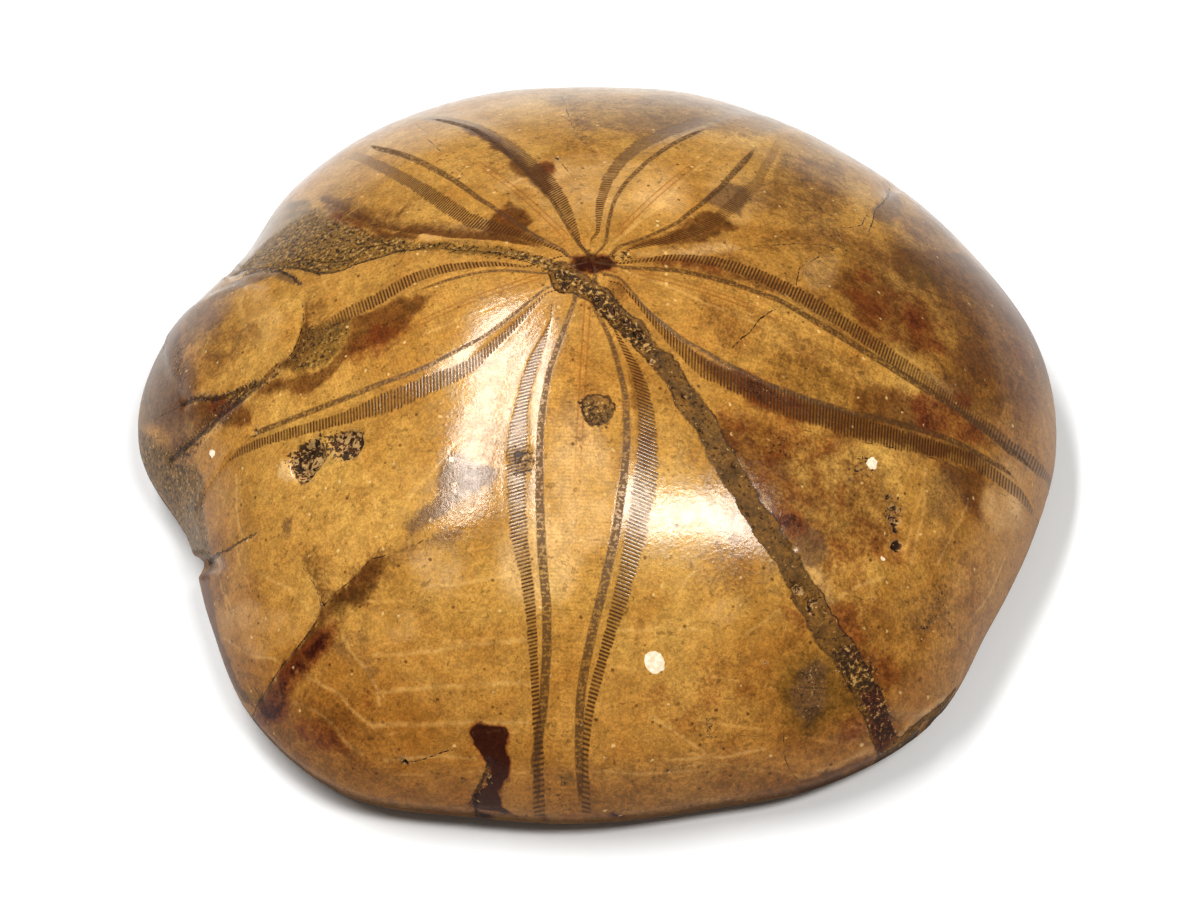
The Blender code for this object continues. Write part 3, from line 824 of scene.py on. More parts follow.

# %% [markdown]
# Olive is thin sediment under the polish, and smoke is a violet grey cloud in the stone. Pale
# spots are white calcite. Bleached areas are partly stone that lost its colour and partly
# painted sheen, the broad glow of the highlights on and beside the front petal.

# %% Olive, smoke, pale, and bleached areas with painted sheen
OLIVE = [
    (.95, 0.7, LEFT_RIM_PATCH), (.95, 0.5, BACK_LEFT_BAND), (.30, 0.8, TOP_STRIP),
    (.95, 0.8, [(222, 276), (236, 256), (250, 236), (268, 216), (290, 200), (320, 207), (335, 216),
                (350, 224), (372, 236), (414, 241), (414, 250), (392, 252), (360, 262), (330, 272),
                (305, 269), (270, 267), (245, 272)]),
    (.90, 0.7, [(304, 324), (316, 325), (330, 318), (345, 319), (353, 326), (350, 338), (342, 350),
                (330, 362), (318, 371), (304, 376), (290, 373), (284, 367), (294, 356), (300, 342)]),
    (.75, 0.7, [(822, 698), (835, 690), (850, 695), (856, 706), (853, 717), (840, 719), (828, 711)]),
    (.72, 0.8, [(365, 562), (379, 557), (384, 568), (376, 586), (368, 599), (356, 612), (345, 621),
                (335, 613), (324, 613), (332, 598), (345, 587), (358, 577)]),
    (.35, 0.8, [(700, 219), (716, 214), (738, 227), (722, 236), (700, 243), (684, 243), (688, 228)]),
    (.60, 0.3, [(130, 424), (150, 340), (168, 320), (185, 330), (184, 400), (160, 418), (140, 430)]),
    (.60, 1.0, [(902, 262), (922, 268), (948, 280), (935, 291), (915, 286), (903, 276)]),
    (.65, 0.9, [(815, 565), (826, 572), (836, 600), (826, 602), (816, 585)]),
    (.80, 1.2, [(832, 648), (860, 640), (880, 662), (884, 690), (868, 694), (850, 690), (836, 670)]),
    (568, 778, 9, 10, 0, .6), (255, 700, 12, 14, -20, .7), (555, 99, 18, 8, 0, .55),
    (812, 692, 34, 44, 0, .90), (846, 680, 30, 30, 0, .6), (560, 278, 14, 14, 0, .9),
    (585, 268, 16, 8, 0, .6), (450, 246, 40, 8, 0, .5), (290, 415, 40, 8, -20, .2),
    (430, 600, 30, 20, 0, .2), (640, 460, 8, 20, 0, .3), (780, 165, 30, 8, -60, .4),
    (812, 378, 46, 20, 24, .50),
]
SMOKE = [
    (.95, 0.6, [(448, 455), (470, 462), (500, 465), (496, 478), (480, 490), (461, 501), (440, 516),
                (425, 530), (410, 540), (406, 526), (425, 505), (438, 485), (441, 466)]),
    (.75, 0.5, [(284, 522), (290, 520), (291, 535), (286, 541), (282, 532)]),
    (1.6, 0.35, [(216, 294), (232, 282), (250, 273), (266, 270), (283, 271), (299, 281), (288, 283),
                (270, 279), (252, 282), (238, 291), (226, 299)]),
    (1.2, 0.5, [(795, 533), (807, 526), (816, 531), (823, 549), (820, 561), (810, 567), (800, 553)]),
    (.95, 1.0, [(800, 665), (815, 657), (826, 668), (822, 681), (827, 695), (825, 711), (815, 719),
                (804, 723), (794, 712), (789, 700), (796, 684)]),
    (1.1, 0.4, [(891, 190), (904, 197), (906, 207), (896, 215), (890, 223), (879, 223), (875, 213),
                (884, 202)]),
    (1.1, 0.5, [(704, 206), (725, 187), (745, 188), (751, 200), (738, 216), (722, 213)]),
    (.58, 1.4, [(562, 99), (575, 98), (640, 99), (700, 101), (760, 112), (792, 130), (760, 142),
                (722, 139), (690, 128), (660, 128), (630, 135), (600, 128), (582, 140), (568, 118)]),
    (.45, 0.8, [(330, 645), (346, 637), (366, 629), (374, 640), (366, 655), (380, 668), (377, 682),
                (358, 673), (345, 666), (330, 656)]),
    (526, 460, 14, 15, 0, .7), (946, 494, 22, 30, 15, .6), (930, 610, 26, 26, 0, .45),
    (232, 286, 14, 8, -30, .6), (650, 440, 10, 24, 10, .3), (940, 255, 50, 34, 35, .35),
    (158, 360, 20, 60, 8, 1.0), (200, 300, 36, 18, -45, .7), (250, 670, 20, 20, 0, .35),
    (1010, 300, 30, 50, 20, .3), (820, 140, 40, 14, 30, .35), (813, 702, 9, 12, -20, 1.2),
    (806, 676, 8, 7, 20, 1.1), (555, 98, 20, 8, 0, .4), (668, 112, 54, 24, 0, .75),
    (950, 545, 20, 30, 20, .3), (480, 560, 30, 20, 0, .15), (435, 590, 24, 18, 0, .3),
]
PALE = [
    (655.5, 662.5, 10.5, 12, -20, 1), (872, 464, 5, 6.5, -20, 1), (214, 454, 3.6, 3.6, 0, 1),
    (452, 458, 3, 3, 0, 1), (881, 558, 3, 3, 0, .9), (618, 409, 3.5, 3.5, 0, .5),
]
# bleached areas are partly faded stone and partly painted sheen: the large ellipses on and left of the
# front petal paint the glow of the highlights
WASHED_AND_SHEEN = [
    (.60, 0.6, [(800, 548), (812, 556), (826, 580), (838, 602), (828, 606), (816, 590), (804, 570)]),
    (.80, 0.4, [(283, 463), (290, 459), (296, 470), (298, 483), (285, 485), (277, 478)]),
    (.50, 0.8, [(800, 270), (806, 262), (820, 255), (836, 250), (846, 262), (842, 276), (828, 291),
                (812, 291), (798, 282)]),
    (.55, 0.8, [(628, 251), (680, 247), (730, 241), (746, 250), (700, 259), (640, 257)]),
    (.50, 0.6, [(878, 748), (895, 734), (912, 721), (930, 706), (946, 692), (952, 700), (930, 718),
                (910, 733), (890, 748)]),
    (.60, 0.5, [(800, 778), (818, 766), (846, 756), (872, 746), (874, 752), (850, 760), (820, 771)]),
    (.35, 1.2, [(208, 600), (235, 605), (262, 600), (290, 610), (305, 625), (300, 640), (285, 655),
                (265, 665), (245, 655), (225, 640)]),
    (580, 480, 34, 80, 0, .60), (540, 552, 44, 60, 0, .72), (262, 320, 22, 30, -10, .35),
    (940, 385, 26, 8, 35, .4), (1000, 470, 40, 16, 35, .35),
    (560, 290, 40, 12, -20, .3), (1004, 512, 24, 26, 0, .5), (460, 230, 50, 10, 0, .4),
    (480, 226, 12, 8, 0, .5), (390, 620, 30, 20, 0, .3), (420, 570, 24, 16, 0, .3),
    (900, 600, 30, 30, 0, .2), (730, 610, 40, 14, -10, .25), (180, 430, 26, 14, -30, .5),
    (346, 448, 8, 8, 0, .6), (800, 140, 30, 10, 30, .3), (590, 188, 100, 34, 0, .50),
    (738, 190, 34, 28, 0, .45), (512, 488, 24, 34, 0, .40), (436, 566, 36, 30, 20, .45),
]
print(len(OLIVE), "olive,", len(SMOKE), "smoky,", len(PALE), "pale and", len(WASHED_AND_SHEEN), "washed patches")

# %% [markdown]
# An ellipse in the picture is not one on the stone. A small step to each side of its centre
# shows how the picture maps to the stone there, and the turned-back map gives every grid point
# its distance in the ellipse's own terms.

# %% Strength of the patches
PICTURE_STEP = 2.0


def ellipse_radius(spread, x, y, half_x, half_y, turn):
    """Distance from an ellipse's centre in units of its edge: 1 on the edge."""
    step = PICTURE_STEP
    spots = on_map([(x, y), (x + step, y), (x, y + step)])
    to_map = np.stack([spots[1] - spots[0], spots[2] - spots[0]], axis=1) / step
    flat = (spread - spots[0]) @ np.linalg.inv(to_map).T
    c, s = np.cos(np.radians(turn)), np.sin(np.radians(turn))
    across = (flat[..., 0] * c + flat[..., 1] * s) / half_x
    down = (flat[..., 1] * c - flat[..., 0] * s) / half_y
    return np.hypot(across, down)


def patches_of(spread, spots, start=0.5, end=1.5):
    """Strongest of the patches at every grid point. An ellipse is full up to start times its
    edge and gone at end times; an outline fades over its softness to both sides."""
    strength = np.zeros(ALONG.shape)
    for spot in spots:
        if len(spot) == 3:
            amount, softness, outline = spot
            inside = 1.0 - ease(signed_gap(spread, outline), -softness, softness)
        else:
            *ellipse, amount = spot
            inside = 1.0 - ease(ellipse_radius(spread, *ellipse), start, end)
        strength = np.maximum(strength, amount * inside)
    return strength * ON_TOP


iron, brown, olive, smoke, washed_and_sheen = (
    patches_of(WELL_WAVERED, spots) for spots in (IRON, BROWN, OLIVE, SMOKE, WASHED_AND_SHEEN)
)
pale = patches_of(LIGHTLY_WAVERED, PALE, 0.6, 1.4)
pit, grit = patches_of(LIGHTLY_WAVERED, PITS, 0.3, 1.2), patches_of(WELL_WAVERED, GRIT)
print("deepest pit", round(float(pit.max()), 2), "mm")

# %% [markdown]
# The shell's plates are still faintly outlined. Their seams run square to the nearest petal,
# and move on by half a plate where they cross a petal's axis or the middle between two petals.
# The distance to the nearer of the two is kept, with a sign that changes across both, so that
# the material's step of half a plate stays sharp.

# %% Plates
between = np.pi / 5.0 - np.abs(np.take_along_axis(turned, NEAREST_PETAL[..., None], -1)[..., 0])
to_middle = ALONG * np.sin(np.clip(between, 0.0, np.pi / 2.0))
plate_side = petal_side * np.minimum(petal_across, to_middle)
print("seam steps lie up to", round(float(np.abs(plate_side).max()), 1), "mm from a middle line")

# %% [markdown]
# Relief is added along the surface's own direction: swollen petals with faintly sunk rows,
# cracks, crumbs that have fallen out of the polish, pits, the step beside a broken plate, chips
# in the rim, and slow waves that bend the reflections. Bump alone would leave all of it out of
# the mesh. Underneath, the worn granules, the mouth and the vent are modelled plainly. Nothing
# may reach below the ground, so that the stone still lies flat.

# %% Relief
PETAL_RISE, PETAL_SPAN, PETAL_SHOULDER, SECTOR_SPREAD = 0.42, 56.0, 4.6, 0.66
ROW_DEPTH, LINE_REACH, CRACK_SHARE, PLATE_STEP = 0.02, 0.6, 0.6, 0.25
GRIT_DEPTH, GRANULE = 0.05, 1.1
# picture place and half-sizes, then the depth in millimetres
RIM_CHIPS = [(198, 565, 14, 11, 1.2), (892, 188, 12, 7, 0.35), (246, 722, 12, 9, 0.5),
             (915, 722, 36, 10, 0.4), (232, 272, 10, 8, 0.4)]
LEFT_PLATE = [(186, 300), (236, 284), (275, 288), (303, 310), (304, 322), (301, 335), (297, 345),
              (293, 354), (283, 361), (272, 371), (262, 384), (240, 390), (215, 398), (190, 401),
              (170, 380), (165, 340)]
VENT_CENTRE, VENT_RADII, VENT_DEPTH = (0.0, 47.0), (3.0, 4.2), 1.2
MOUTH_RADIUS, MOUTH_DEPTH = 5.0, 2.0


def unit(vectors):
    """Vectors scaled to length one."""
    return vectors / np.maximum(np.linalg.norm(vectors, axis=-1, keepdims=True), 1e-9)


onward = np.gradient(BODY, axis=0)
sideways = np.roll(BODY, -1, axis=1) - np.roll(BODY, 1, axis=1)
OUTWARD = unit(np.cross(onward, sideways))
UNDER = 1.0 - ON_TOP

in_comb = ease(comb_place, -0.15, 0.1) * (1.0 - ease(comb_place, 0.9, 1.15)) * comb_dark
crack_near = np.exp(-((crack_line[..., 1] / (crack_line[..., 2] + 0.15)) ** 2))
crack_depth = np.clip(crack_line[..., 2], 0.05, 0.3) * crack_near
waves = 0.09 * rough(BODY, 13.0) + 0.04 * rough(BODY, 5.0, 3.0)
line_place = petal_across - pore_offset
room = np.clip(SECTOR_SPREAD * petal_along - line_place, 0.4, PETAL_SHOULDER)
swelling = PETAL_RISE * np.sin(np.pi * share(petal_along, 0.0, PETAL_SPAN)) ** 0.7
swelling = swelling * ease(petal_along, 1.0, 16.0) * (1.0 - np.clip(pore_offset / room, 0.0, 1.0)) ** 2
broken_plate = PLATE_STEP * (1.0 - ease(signed_gap(MAP, LEFT_PLATE), -0.9, 0.2))
relief = (
    swelling - ROW_DEPTH * np.exp(-((pore_offset / LINE_REACH) ** 2)) - ROW_DEPTH * in_comb
    - grit * (GRIT_DEPTH + GRIT_DEPTH * rough(BODY, GRANULE, 5.0)) - CRACK_SHARE * crack_depth
    + broken_plate - pit * (1.0 + 0.5 * rough(BODY, GRANULE, 9.0)) + waves
) * ON_TOP
for x, y, half_x, half_y, depth in RIM_CHIPS:
    far = ellipse_radius(MAP, x, y, half_x, half_y, 0.0)
    relief -= depth * (1.0 - ease(far, 0.1, 1.3))
relief += UNDER * (0.09 * rough(BODY, 1.4, 1.0) + 0.07 * rough(BODY, 4.0, 2.0))
points = BODY + OUTWARD * relief[..., None]

vent = np.hypot((BODY[..., 0] - VENT_CENTRE[0]) / VENT_RADII[0],
                (BODY[..., 1] - VENT_CENTRE[1]) / VENT_RADII[1])
from_mouth = np.linalg.norm(BODY[..., :2] - MOUTH_CENTRE, axis=-1) / MOUTH_RADIUS
below = STAGE > 2.0
points[..., 2] += below * VENT_DEPTH * (1.0 - ease(vent, 0.2, 1.1))
points[..., 2] += below * MOUTH_DEPTH * (1.0 - ease(from_mouth, 0.2, 1.1))
points[..., 2] = np.maximum(points[..., 2], 0.0)
print("relief, mm:", relief.min().round(2), "to", relief.max().round(2))

# %% [markdown]
# The grid becomes one closed mesh: four-sided faces between rings and a fan at each pole. The
# measured fields go with it as attributes, which the material reads by name.

# %% Mesh
ring_count, round_count = STAGE.shape


def with_poles(field):
    """A grid field as one list of points, with the mean of the end rings as the two poles."""
    ends = (field[:1].mean(axis=1), field[-1:].mean(axis=1))
    flat = field.reshape(ring_count * round_count, -1)
    return np.concatenate([flat, ends[0].reshape(1, -1), ends[1].reshape(1, -1)])


place = with_poles(points)
place[:, :2] += APEX_SHIFT
number = np.arange(ring_count * round_count).reshape(ring_count, round_count)
after = np.roll(number, -1, axis=1)
quads = np.stack([number[:-1], number[1:], after[1:], after[:-1]], axis=-1).reshape(-1, 4)
apex_pole, mouth_pole = number.size, number.size + 1
apex_fan = np.stack([np.full(round_count, apex_pole), number[0], after[0]], axis=-1)
mouth_fan = np.stack([number[-1], np.full(round_count, mouth_pole), after[-1]], axis=-1)
corners = np.concatenate([quads.ravel(), apex_fan.ravel(), mouth_fan.ravel()])
sizes = np.concatenate([np.full(len(quads), 4), np.full(2 * round_count, 3)])

mesh = bpy.data.meshes.new("sea_urchin")
mesh.vertices.add(len(place))
mesh.vertices.foreach_set("co", (place * MM).astype(np.float32).ravel())
mesh.loops.add(len(corners))
mesh.loops.foreach_set("vertex_index", corners.astype(np.int32))
mesh.polygons.add(len(sizes))
first_corners = np.concatenate([[0], sizes.cumsum()[:-1]])
mesh.polygons.foreach_set("loop_start", first_corners.astype(np.int32))
mesh.update(calc_edges=True)
mesh.validate()
mesh.shade_smooth()
urchin = bpy.data.objects.new("sea_urchin", mesh)
bpy.context.scene.collection.objects.link(urchin)

FIELDS = {
    "pores": (pore_offset, comb_place, slit_number),
    "petal": (petal_along, petal_across, comb_dark),
    "plates": (ALONG, plate_side, to_middle),
    "crack": tuple(np.moveaxis(crack_line, -1, 0)),
    "healed": tuple(np.moveaxis(pale_line, -1, 0)),
    "stains": (iron, brown, olive),
    "marks": (smoke, pale, washed_and_sheen),
    "ground": (np.clip(sediment_edge, -3.0, 3.0), grit, pit),
    "depth": (STAGE, line_width, fault),
}
for name, parts in FIELDS.items():
    attribute = mesh.attributes.new(name, "FLOAT_VECTOR", "POINT")
    values = with_poles(np.stack(parts, axis=-1))
    attribute.data.foreach_set("vector", values.astype(np.float32).ravel())
print("mesh:", len(mesh.vertices), "points,", len(mesh.polygons), "faces,", len(FIELDS), "attributes")

# %% [markdown]
# The finish is one node material. A few small helpers keep the node tree readable: each adds
# a node, joins what it is given and hands back the output. Colours are written as display
# values from 0 to 255 and turned into light values.

# %% Node helpers
def start_material(name):
    """A new material with an empty node tree, that tree and its Object coordinates."""
    made = bpy.data.materials.new(name)
    made.use_nodes = True
    made.node_tree.nodes.clear()
    return made, made.node_tree, made.node_tree.nodes.new("ShaderNodeTexCoord").outputs["Object"]


material, tree, object_place = start_material("amber_stone")


def join(value, socket):
    """Links an output to a socket, or sets the socket to a plain value."""
    if isinstance(value, bpy.types.NodeSocket):
        tree.links.new(value, socket)
    else:
        socket.default_value = value


def light(red, green, blue):
    """Display colour as light values: the power curve of a screen undone."""
    shown = np.array([red, green, blue]) / 255.0
    return (*np.where(shown > 0.04045, ((shown + 0.055) / 1.055) ** 2.4, shown / 12.92), 1.0)


def math(kind, one, two=0.0, three=0.0):
    """One Math node."""
    made = tree.nodes.new("ShaderNodeMath")
    made.operation = kind
    for value, socket in zip((one, two, three), made.inputs):
        join(value, socket)
    return made.outputs[0]


def times(*factors):
    """Product of several values."""
    total = factors[0]
    for factor in factors[1:]:
        total = math("MULTIPLY", total, factor)
    return total


def ramp(value, start, end, low=0.0, high=1.0):
    """Value eased from low at start to high at end, and held beyond both."""
    made = tree.nodes.new("ShaderNodeMapRange")
    made.interpolation_type = "SMOOTHSTEP"
    for given, socket in zip((value, start, end, low, high), made.inputs):
        join(given, socket)
    return made.outputs[0]


def blend(amount, one, two):
    """Colour one turned into colour two by amount."""
    made = tree.nodes.new("ShaderNodeMix")
    made.data_type = "RGBA"
    join(amount, made.inputs[0])
    join(one, made.inputs[6])
    join(two, made.inputs[7])
    return made.outputs[2]


def field(name):
    """The three numbers of an attribute."""
    source = tree.nodes.new("ShaderNodeAttribute")
    source.attribute_name = name
    split = tree.nodes.new("ShaderNodeSeparateXYZ")
    tree.links.new(source.outputs["Vector"], split.inputs[0])
    return tuple(split.outputs)


def noise(size, detail=3.0, roughness=0.55, twist=0.0):
    """Cloudy noise with spots about size mm wide, spread over 0 to 1 around 0.5."""
    made = tree.nodes.new("ShaderNodeTexNoise")
    join(object_place, made.inputs["Vector"])
    made.inputs["Scale"].default_value = 1.0 / (size * MM)
    made.inputs["Detail"].default_value = detail
    made.inputs["Roughness"].default_value = roughness
    made.inputs["Distortion"].default_value = twist
    return ramp(made.outputs[0], 0.28, 0.72)


def cells(size):
    """Cell noise: distance from the cell's middle, and a random number for the cell."""
    made = tree.nodes.new("ShaderNodeTexVoronoi")
    join(object_place, made.inputs["Vector"])
    made.inputs["Scale"].default_value = 1.0 / (size * MM)
    tone = tree.nodes.new("ShaderNodeSeparateColor")
    join(made.outputs["Color"], tone.inputs[0])
    return made.outputs["Distance"], tone.outputs[0]


def finish_material(colour, roughness, height, bump_strength, bump_reach):
    """Joins colour, roughness and bump height to one shader, and the shader to the output."""
    bump = tree.nodes.new("ShaderNodeBump")
    bump.inputs["Strength"].default_value = bump_strength
    bump.inputs["Distance"].default_value = bump_reach * MM
    join(height, bump.inputs["Height"])
    shader = tree.nodes.new("ShaderNodeBsdfPrincipled")
    join(colour, shader.inputs["Base Color"])
    join(roughness, shader.inputs["Roughness"])
    join(bump.outputs[0], shader.inputs["Normal"])
    output = tree.nodes.new("ShaderNodeOutputMaterial")
    tree.links.new(shader.outputs[0], output.inputs[0])
    return shader


pore_off, in_row, slit = field("pores")
petal_far, petal_wide, row_dark = field("petal")
apex_far, plate_half, middle_far = field("plates")
crack_off, crack_far, crack_half = field("crack")
pale_off, pale_far, pale_half = field("healed")
iron_here, brown_here, olive_here = field("stains")
smoke_here, pale_here, washed_and_sheen_here = field("marks")
sediment_far, grit_here, pit_here = field("ground")
stage, line_share, fault_here = field("depth")
under = ramp(stage, UNDER_STARTS, UNDER_FULL)
print("material reads", len(FIELDS), "attributes")

# %% [markdown]
# The body is honey-coloured limestone: broad clouds of light and dark amber, and patches a
# few millimetres wide. Noises of different size do this better than one with many octaves,
# because each can carry its own colour. The colour is darker brown towards the rim, and a
# little darker round the apex too.

# %% Body colour
clouds, patches = noise(17.0, 4.0, 0.6, 0.8), noise(5.0, 4.0, 0.6, 0.5)
mottle, grain, speck = noise(1.5, 4.0, 0.65), noise(0.4, 2.0), noise(0.7, 3.0, 0.6, 0.6)
colour = blend(clouds, light(160, 120, 58), light(194, 155, 88))
colour = blend(times(patches, 0.32), colour, light(146, 98, 43))
colour = blend(ramp(apex_far, 37.0, 63.0, 0.0, 0.58), colour, light(138, 82, 23))
colour = blend(ramp(apex_far, 36.0, 10.0, 0.0, 0.26), colour, light(138, 90, 40))
print("nodes so far:", len(tree.nodes))

# %% [markdown]
# Stains soaked in from the breaks: rust-red iron, brown, olive and a violet grey, and paler
# bleached areas, in part painted sheen of the highlights. Noise is added to each amount before
# it is cut to an edge, so they end in the stone's own mottle and not in clean outlines.

# %% Stains
uneven = math("MULTIPLY_ADD", mottle, 0.10, -0.05)
uneven = math("ADD", uneven, math("MULTIPLY_ADD", grain, 0.10, -0.05))
uneven = math("MULTIPLY_ADD", patches, 0.36, math("SUBTRACT", uneven, 0.18))


def stained(under_colour, amount, start, end, strength, tint):
    """Colour tinted where the amount, roughened by the mottle, passes from start to end."""
    broken = times(math("ADD", amount, uneven), ramp(amount, 0.02, 0.2))
    return blend(ramp(broken, start, end, 0.0, strength), under_colour, tint)


# amount, where its edge starts and is full, strength and tint; rust goes round maroon iron
STAINS = (
    # this pale tint is partly faded stone and partly painted sheen of the highlights
    (washed_and_sheen_here, 0.10, 0.90, 0.55, light(222, 188, 138)),
    (brown_here, 0.05, 1.00, 0.82, light(94, 55, 22)),
    (olive_here, 0.10, 1.00, 0.82, light(112, 83, 36)),
    (smoke_here, 0.05, 1.00, 0.74, light(106, 80, 58)),
    (fault_here, 0.00, 0.95, 0.90, light(94, 58, 25)),
    (iron_here, 0.08, 0.60, 0.55, light(110, 50, 24)),
    (iron_here, 0.50, 0.90, 0.88, light(52, 14, 11)),
)
for stain_row in STAINS:
    colour = stained(colour, *stain_row)
print(len(STAINS), "stains, nodes so far:", len(tree.nodes))

# %% [markdown]
# Mottle, grain and specks are laid over body and stains alike, as a change of brightness, so
# that no patch looks painted on. Scattered flecks are tiny closed cells.

# %% Texture
def shaded(under_colour, factor):
    """Colour made brighter or darker by a factor."""
    made = tree.nodes.new("ShaderNodeVectorMath")
    made.operation = "SCALE"
    join(under_colour, made.inputs[0])
    join(factor, made.inputs["Scale"])
    return made.outputs[0]


colour = shaded(colour, ramp(mottle, 0.05, 0.95, 1.11, 0.90))
colour = shaded(colour, ramp(grain, 0.10, 0.90, 1.09, 0.90))
colour = shaded(colour, ramp(noise(0.2, 1.0), 0.10, 0.90, 1.06, 0.94))
colour = shaded(colour, ramp(speck, 0.84, 0.95, 1.0, 0.70))
rough_ground = math("MAXIMUM", olive_here, times(brown_here, 0.6))
rough_ground = times(rough_ground, ramp(mottle, 0.5, 0.9, 0.0, 0.20))
colour = shaded(colour, math("SUBTRACT", 1.0, rough_ground))
fleck_gap, fleck_luck = cells(0.8)
fleck = ramp(math("MULTIPLY_ADD", grain, 0.2, fleck_gap), 0.40, 0.22)
colour = blend(times(fleck, ramp(fleck_luck, 0.93, 0.95), 0.70), colour, light(72, 44, 20))
colour = blend(times(fleck, ramp(fleck_luck, 0.05, 0.03), 0.50), colour, light(228, 200, 150))
print("nodes so far:", len(tree.nodes))

# %% [markdown]
# Plate seams are thin pale lines, half worn away. Whole numbers of the plate count mark them,
# with half a plate added on one side; the middle seam zigzags with the same count. The drawn
# pale lines, which are healed breaks and scratches, are laid over them.

# %% Plate seams and pale lines
PLATE = 4.6
left_half = math("GREATER_THAN", plate_half, 0.0)
plate_count = math("MULTIPLY_ADD", left_half, 0.5, math("DIVIDE", petal_far, PLATE))
plate_count = math("MULTIPLY_ADD", patches, 0.10, plate_count)
in_plate = math("ABSOLUTE", math("SUBTRACT", math("FRACT", plate_count), 0.5))
seam_gap = math("MULTIPLY", math("SUBTRACT", 0.5, in_plate), PLATE)
zigzag = math("MULTIPLY_ADD", math("PINGPONG", math("DIVIDE", petal_far, PLATE), 0.5), 3.2, -0.8)
middle_gap = math("ABSOLUTE", math("SUBTRACT", plate_half, zigzag))
middle_seam = times(ramp(middle_gap, 0.30, 0.05), ramp(middle_far, 3.5, 2.5))
seams = math("MAXIMUM", ramp(seam_gap, 0.30, 0.05), middle_seam)
beside_rows = times(ramp(in_row, 1.2, 1.8), ramp(petal_far, 14.0, 26.0))
worn = times(ramp(noise(9.0, 3.0), 0.40, 0.80), ramp(mottle, 0.9, 0.2))
stain = math("MAXIMUM", math("MAXIMUM", brown_here, smoke_here), math("MAXIMUM", olive_here, iron_here))
clear = ramp(stain, 0.15, 0.70, 1.0, 0.15)
colour = blend(times(seams, beside_rows, worn, clear, 0.26), colour, light(220, 176, 110))

pale_gap = math("ABSOLUTE", math("ADD", pale_off, math("MULTIPLY_ADD", patches, 0.3, -0.15)))
healed = times(ramp(pale_gap, math("MULTIPLY_ADD", pale_half, 2.6, 0.08), 0.0), ramp(pale_far, 0.9, 0.6))
healed = times(healed, ramp(mottle, 1.0, 0.2, 0.25, 1.0))
colour = blend(times(healed, ramp(clear, 0.15, 1.0, 0.35, 1.0), 0.28), colour, light(224, 186, 124))
print("plates are", PLATE, "mm deep; nodes so far:", len(tree.nodes))

# %% [markdown]
# Each comb slit is a dark dash of its own length. A random number for each slit moves its two
# ends, so the comb's edges stay ragged, and a noise lets some slits fade. The inner row is a
# band of fine dots that widens away from the apex. Two thin lines follow the petal's axis.

# %% Rows of pores
random_slit = tree.nodes.new("ShaderNodeTexWhiteNoise")
random_slit.noise_dimensions = "1D"
join(math("FLOOR", slit), random_slit.inputs["W"])
slit_luck = random_slit.outputs["Value"]
tooth = math("ABSOLUTE", math("SUBTRACT", math("FRACT", slit), 0.5))
dash = ramp(tooth, 0.36, 0.12)
inner_end = math("MULTIPLY", slit_luck, 0.10)
outer_end = math("MULTIPLY_ADD", slit_luck, -0.14, 1.08)
in_comb_now = times(ramp(math("SUBTRACT", in_row, inner_end), -0.06, 0.10),
                    ramp(math("SUBTRACT", in_row, outer_end), 0.06, -0.10))
faded = ramp(mottle, 1.0, 0.3, 0.60, 1.0)
comb = times(in_comb_now, row_dark, faded)
slits = times(comb, dash)
line_half = times(ramp(petal_far, 3.0, 36.0, 0.26, 0.52), line_share)
line_gap = math("ADD", math("ABSOLUTE", pore_off), math("MULTIPLY_ADD", grain, 0.16, -0.08))
line = times(ramp(math("SUBTRACT", line_gap, line_half), 0.08, -0.08), ramp(line_share, 0.1, 0.6))
dots = times(line, ramp(math("MULTIPLY_ADD", tooth, -0.6, grain), 0.05, 0.40, 0.58, 1.0))
plate_lines = times(tooth, ramp(in_row, -0.1, -0.4), ramp(petal_far, 8.0, 14.0))
colour = shaded(colour, math("MULTIPLY_ADD", plate_lines, 0.20, 0.96))
colour = blend(times(comb, 0.40), colour, light(112, 74, 34))
colour = blend(times(slits, 0.90), colour, light(66, 42, 21))
colour = blend(times(dots, 0.80), colour, light(80, 54, 26))
axis_gap = math("ABSOLUTE", math("SUBTRACT", petal_wide, 0.30))
axis_line = times(ramp(axis_gap, 0.16, 0.04), ramp(petal_far, 4.0, 6.0), ramp(petal_far, 30.0, 14.0))
colour = blend(times(axis_line, faded, 0.50), colour, light(140, 84, 38))
print("nodes so far:", len(tree.nodes))

# %% [markdown]
# The sediment is a mixture of olive mud and dark and pale crumbs, with a dark line where it
# meets the stone. Crumbs are the peaks and hollows of a fine noise, and the grit field says how
# many there are.

# %% Sediment and crumbs
crumbs = noise(0.42, 3.0, 0.6, 0.4)
edge = math("MULTIPLY_ADD", math("SUBTRACT", mottle, 0.5), 0.5, sediment_far)
sediment = ramp(edge, 0.08, -0.08)
mud = blend(patches, light(82, 55, 14), light(122, 87, 31))
mud = blend(ramp(iron_here, 0.2, 0.8, 0.0, 0.75), mud, light(84, 34, 22))
mud = shaded(mud, ramp(mottle, 0.1, 0.9, 1.20, 0.76))
mud = shaded(mud, ramp(grain, 0.1, 0.9, 1.20, 0.78))
colour = blend(times(sediment, 0.92), colour, mud)
outline_mask = times(ramp(math("ABSOLUTE", edge), 0.20, 0.04), ramp(patches, 0.2, 0.7, 0.3, 0.85))
colour = blend(outline_mask, colour, light(60, 38, 18))
grit_now = math("MAXIMUM", grit_here, times(sediment, 0.30))
dark_crumb = ramp(math("MULTIPLY_ADD", grit_now, 0.50, crumbs), 1.00, 1.10)
pale_crumb = ramp(math("MULTIPLY_ADD", grit_now, -0.26, crumbs), 0.02, -0.06)
colour = blend(times(dark_crumb, 0.85), colour, light(48, 30, 17))
colour = blend(times(pale_crumb, 0.62), colour, light(192, 160, 104))

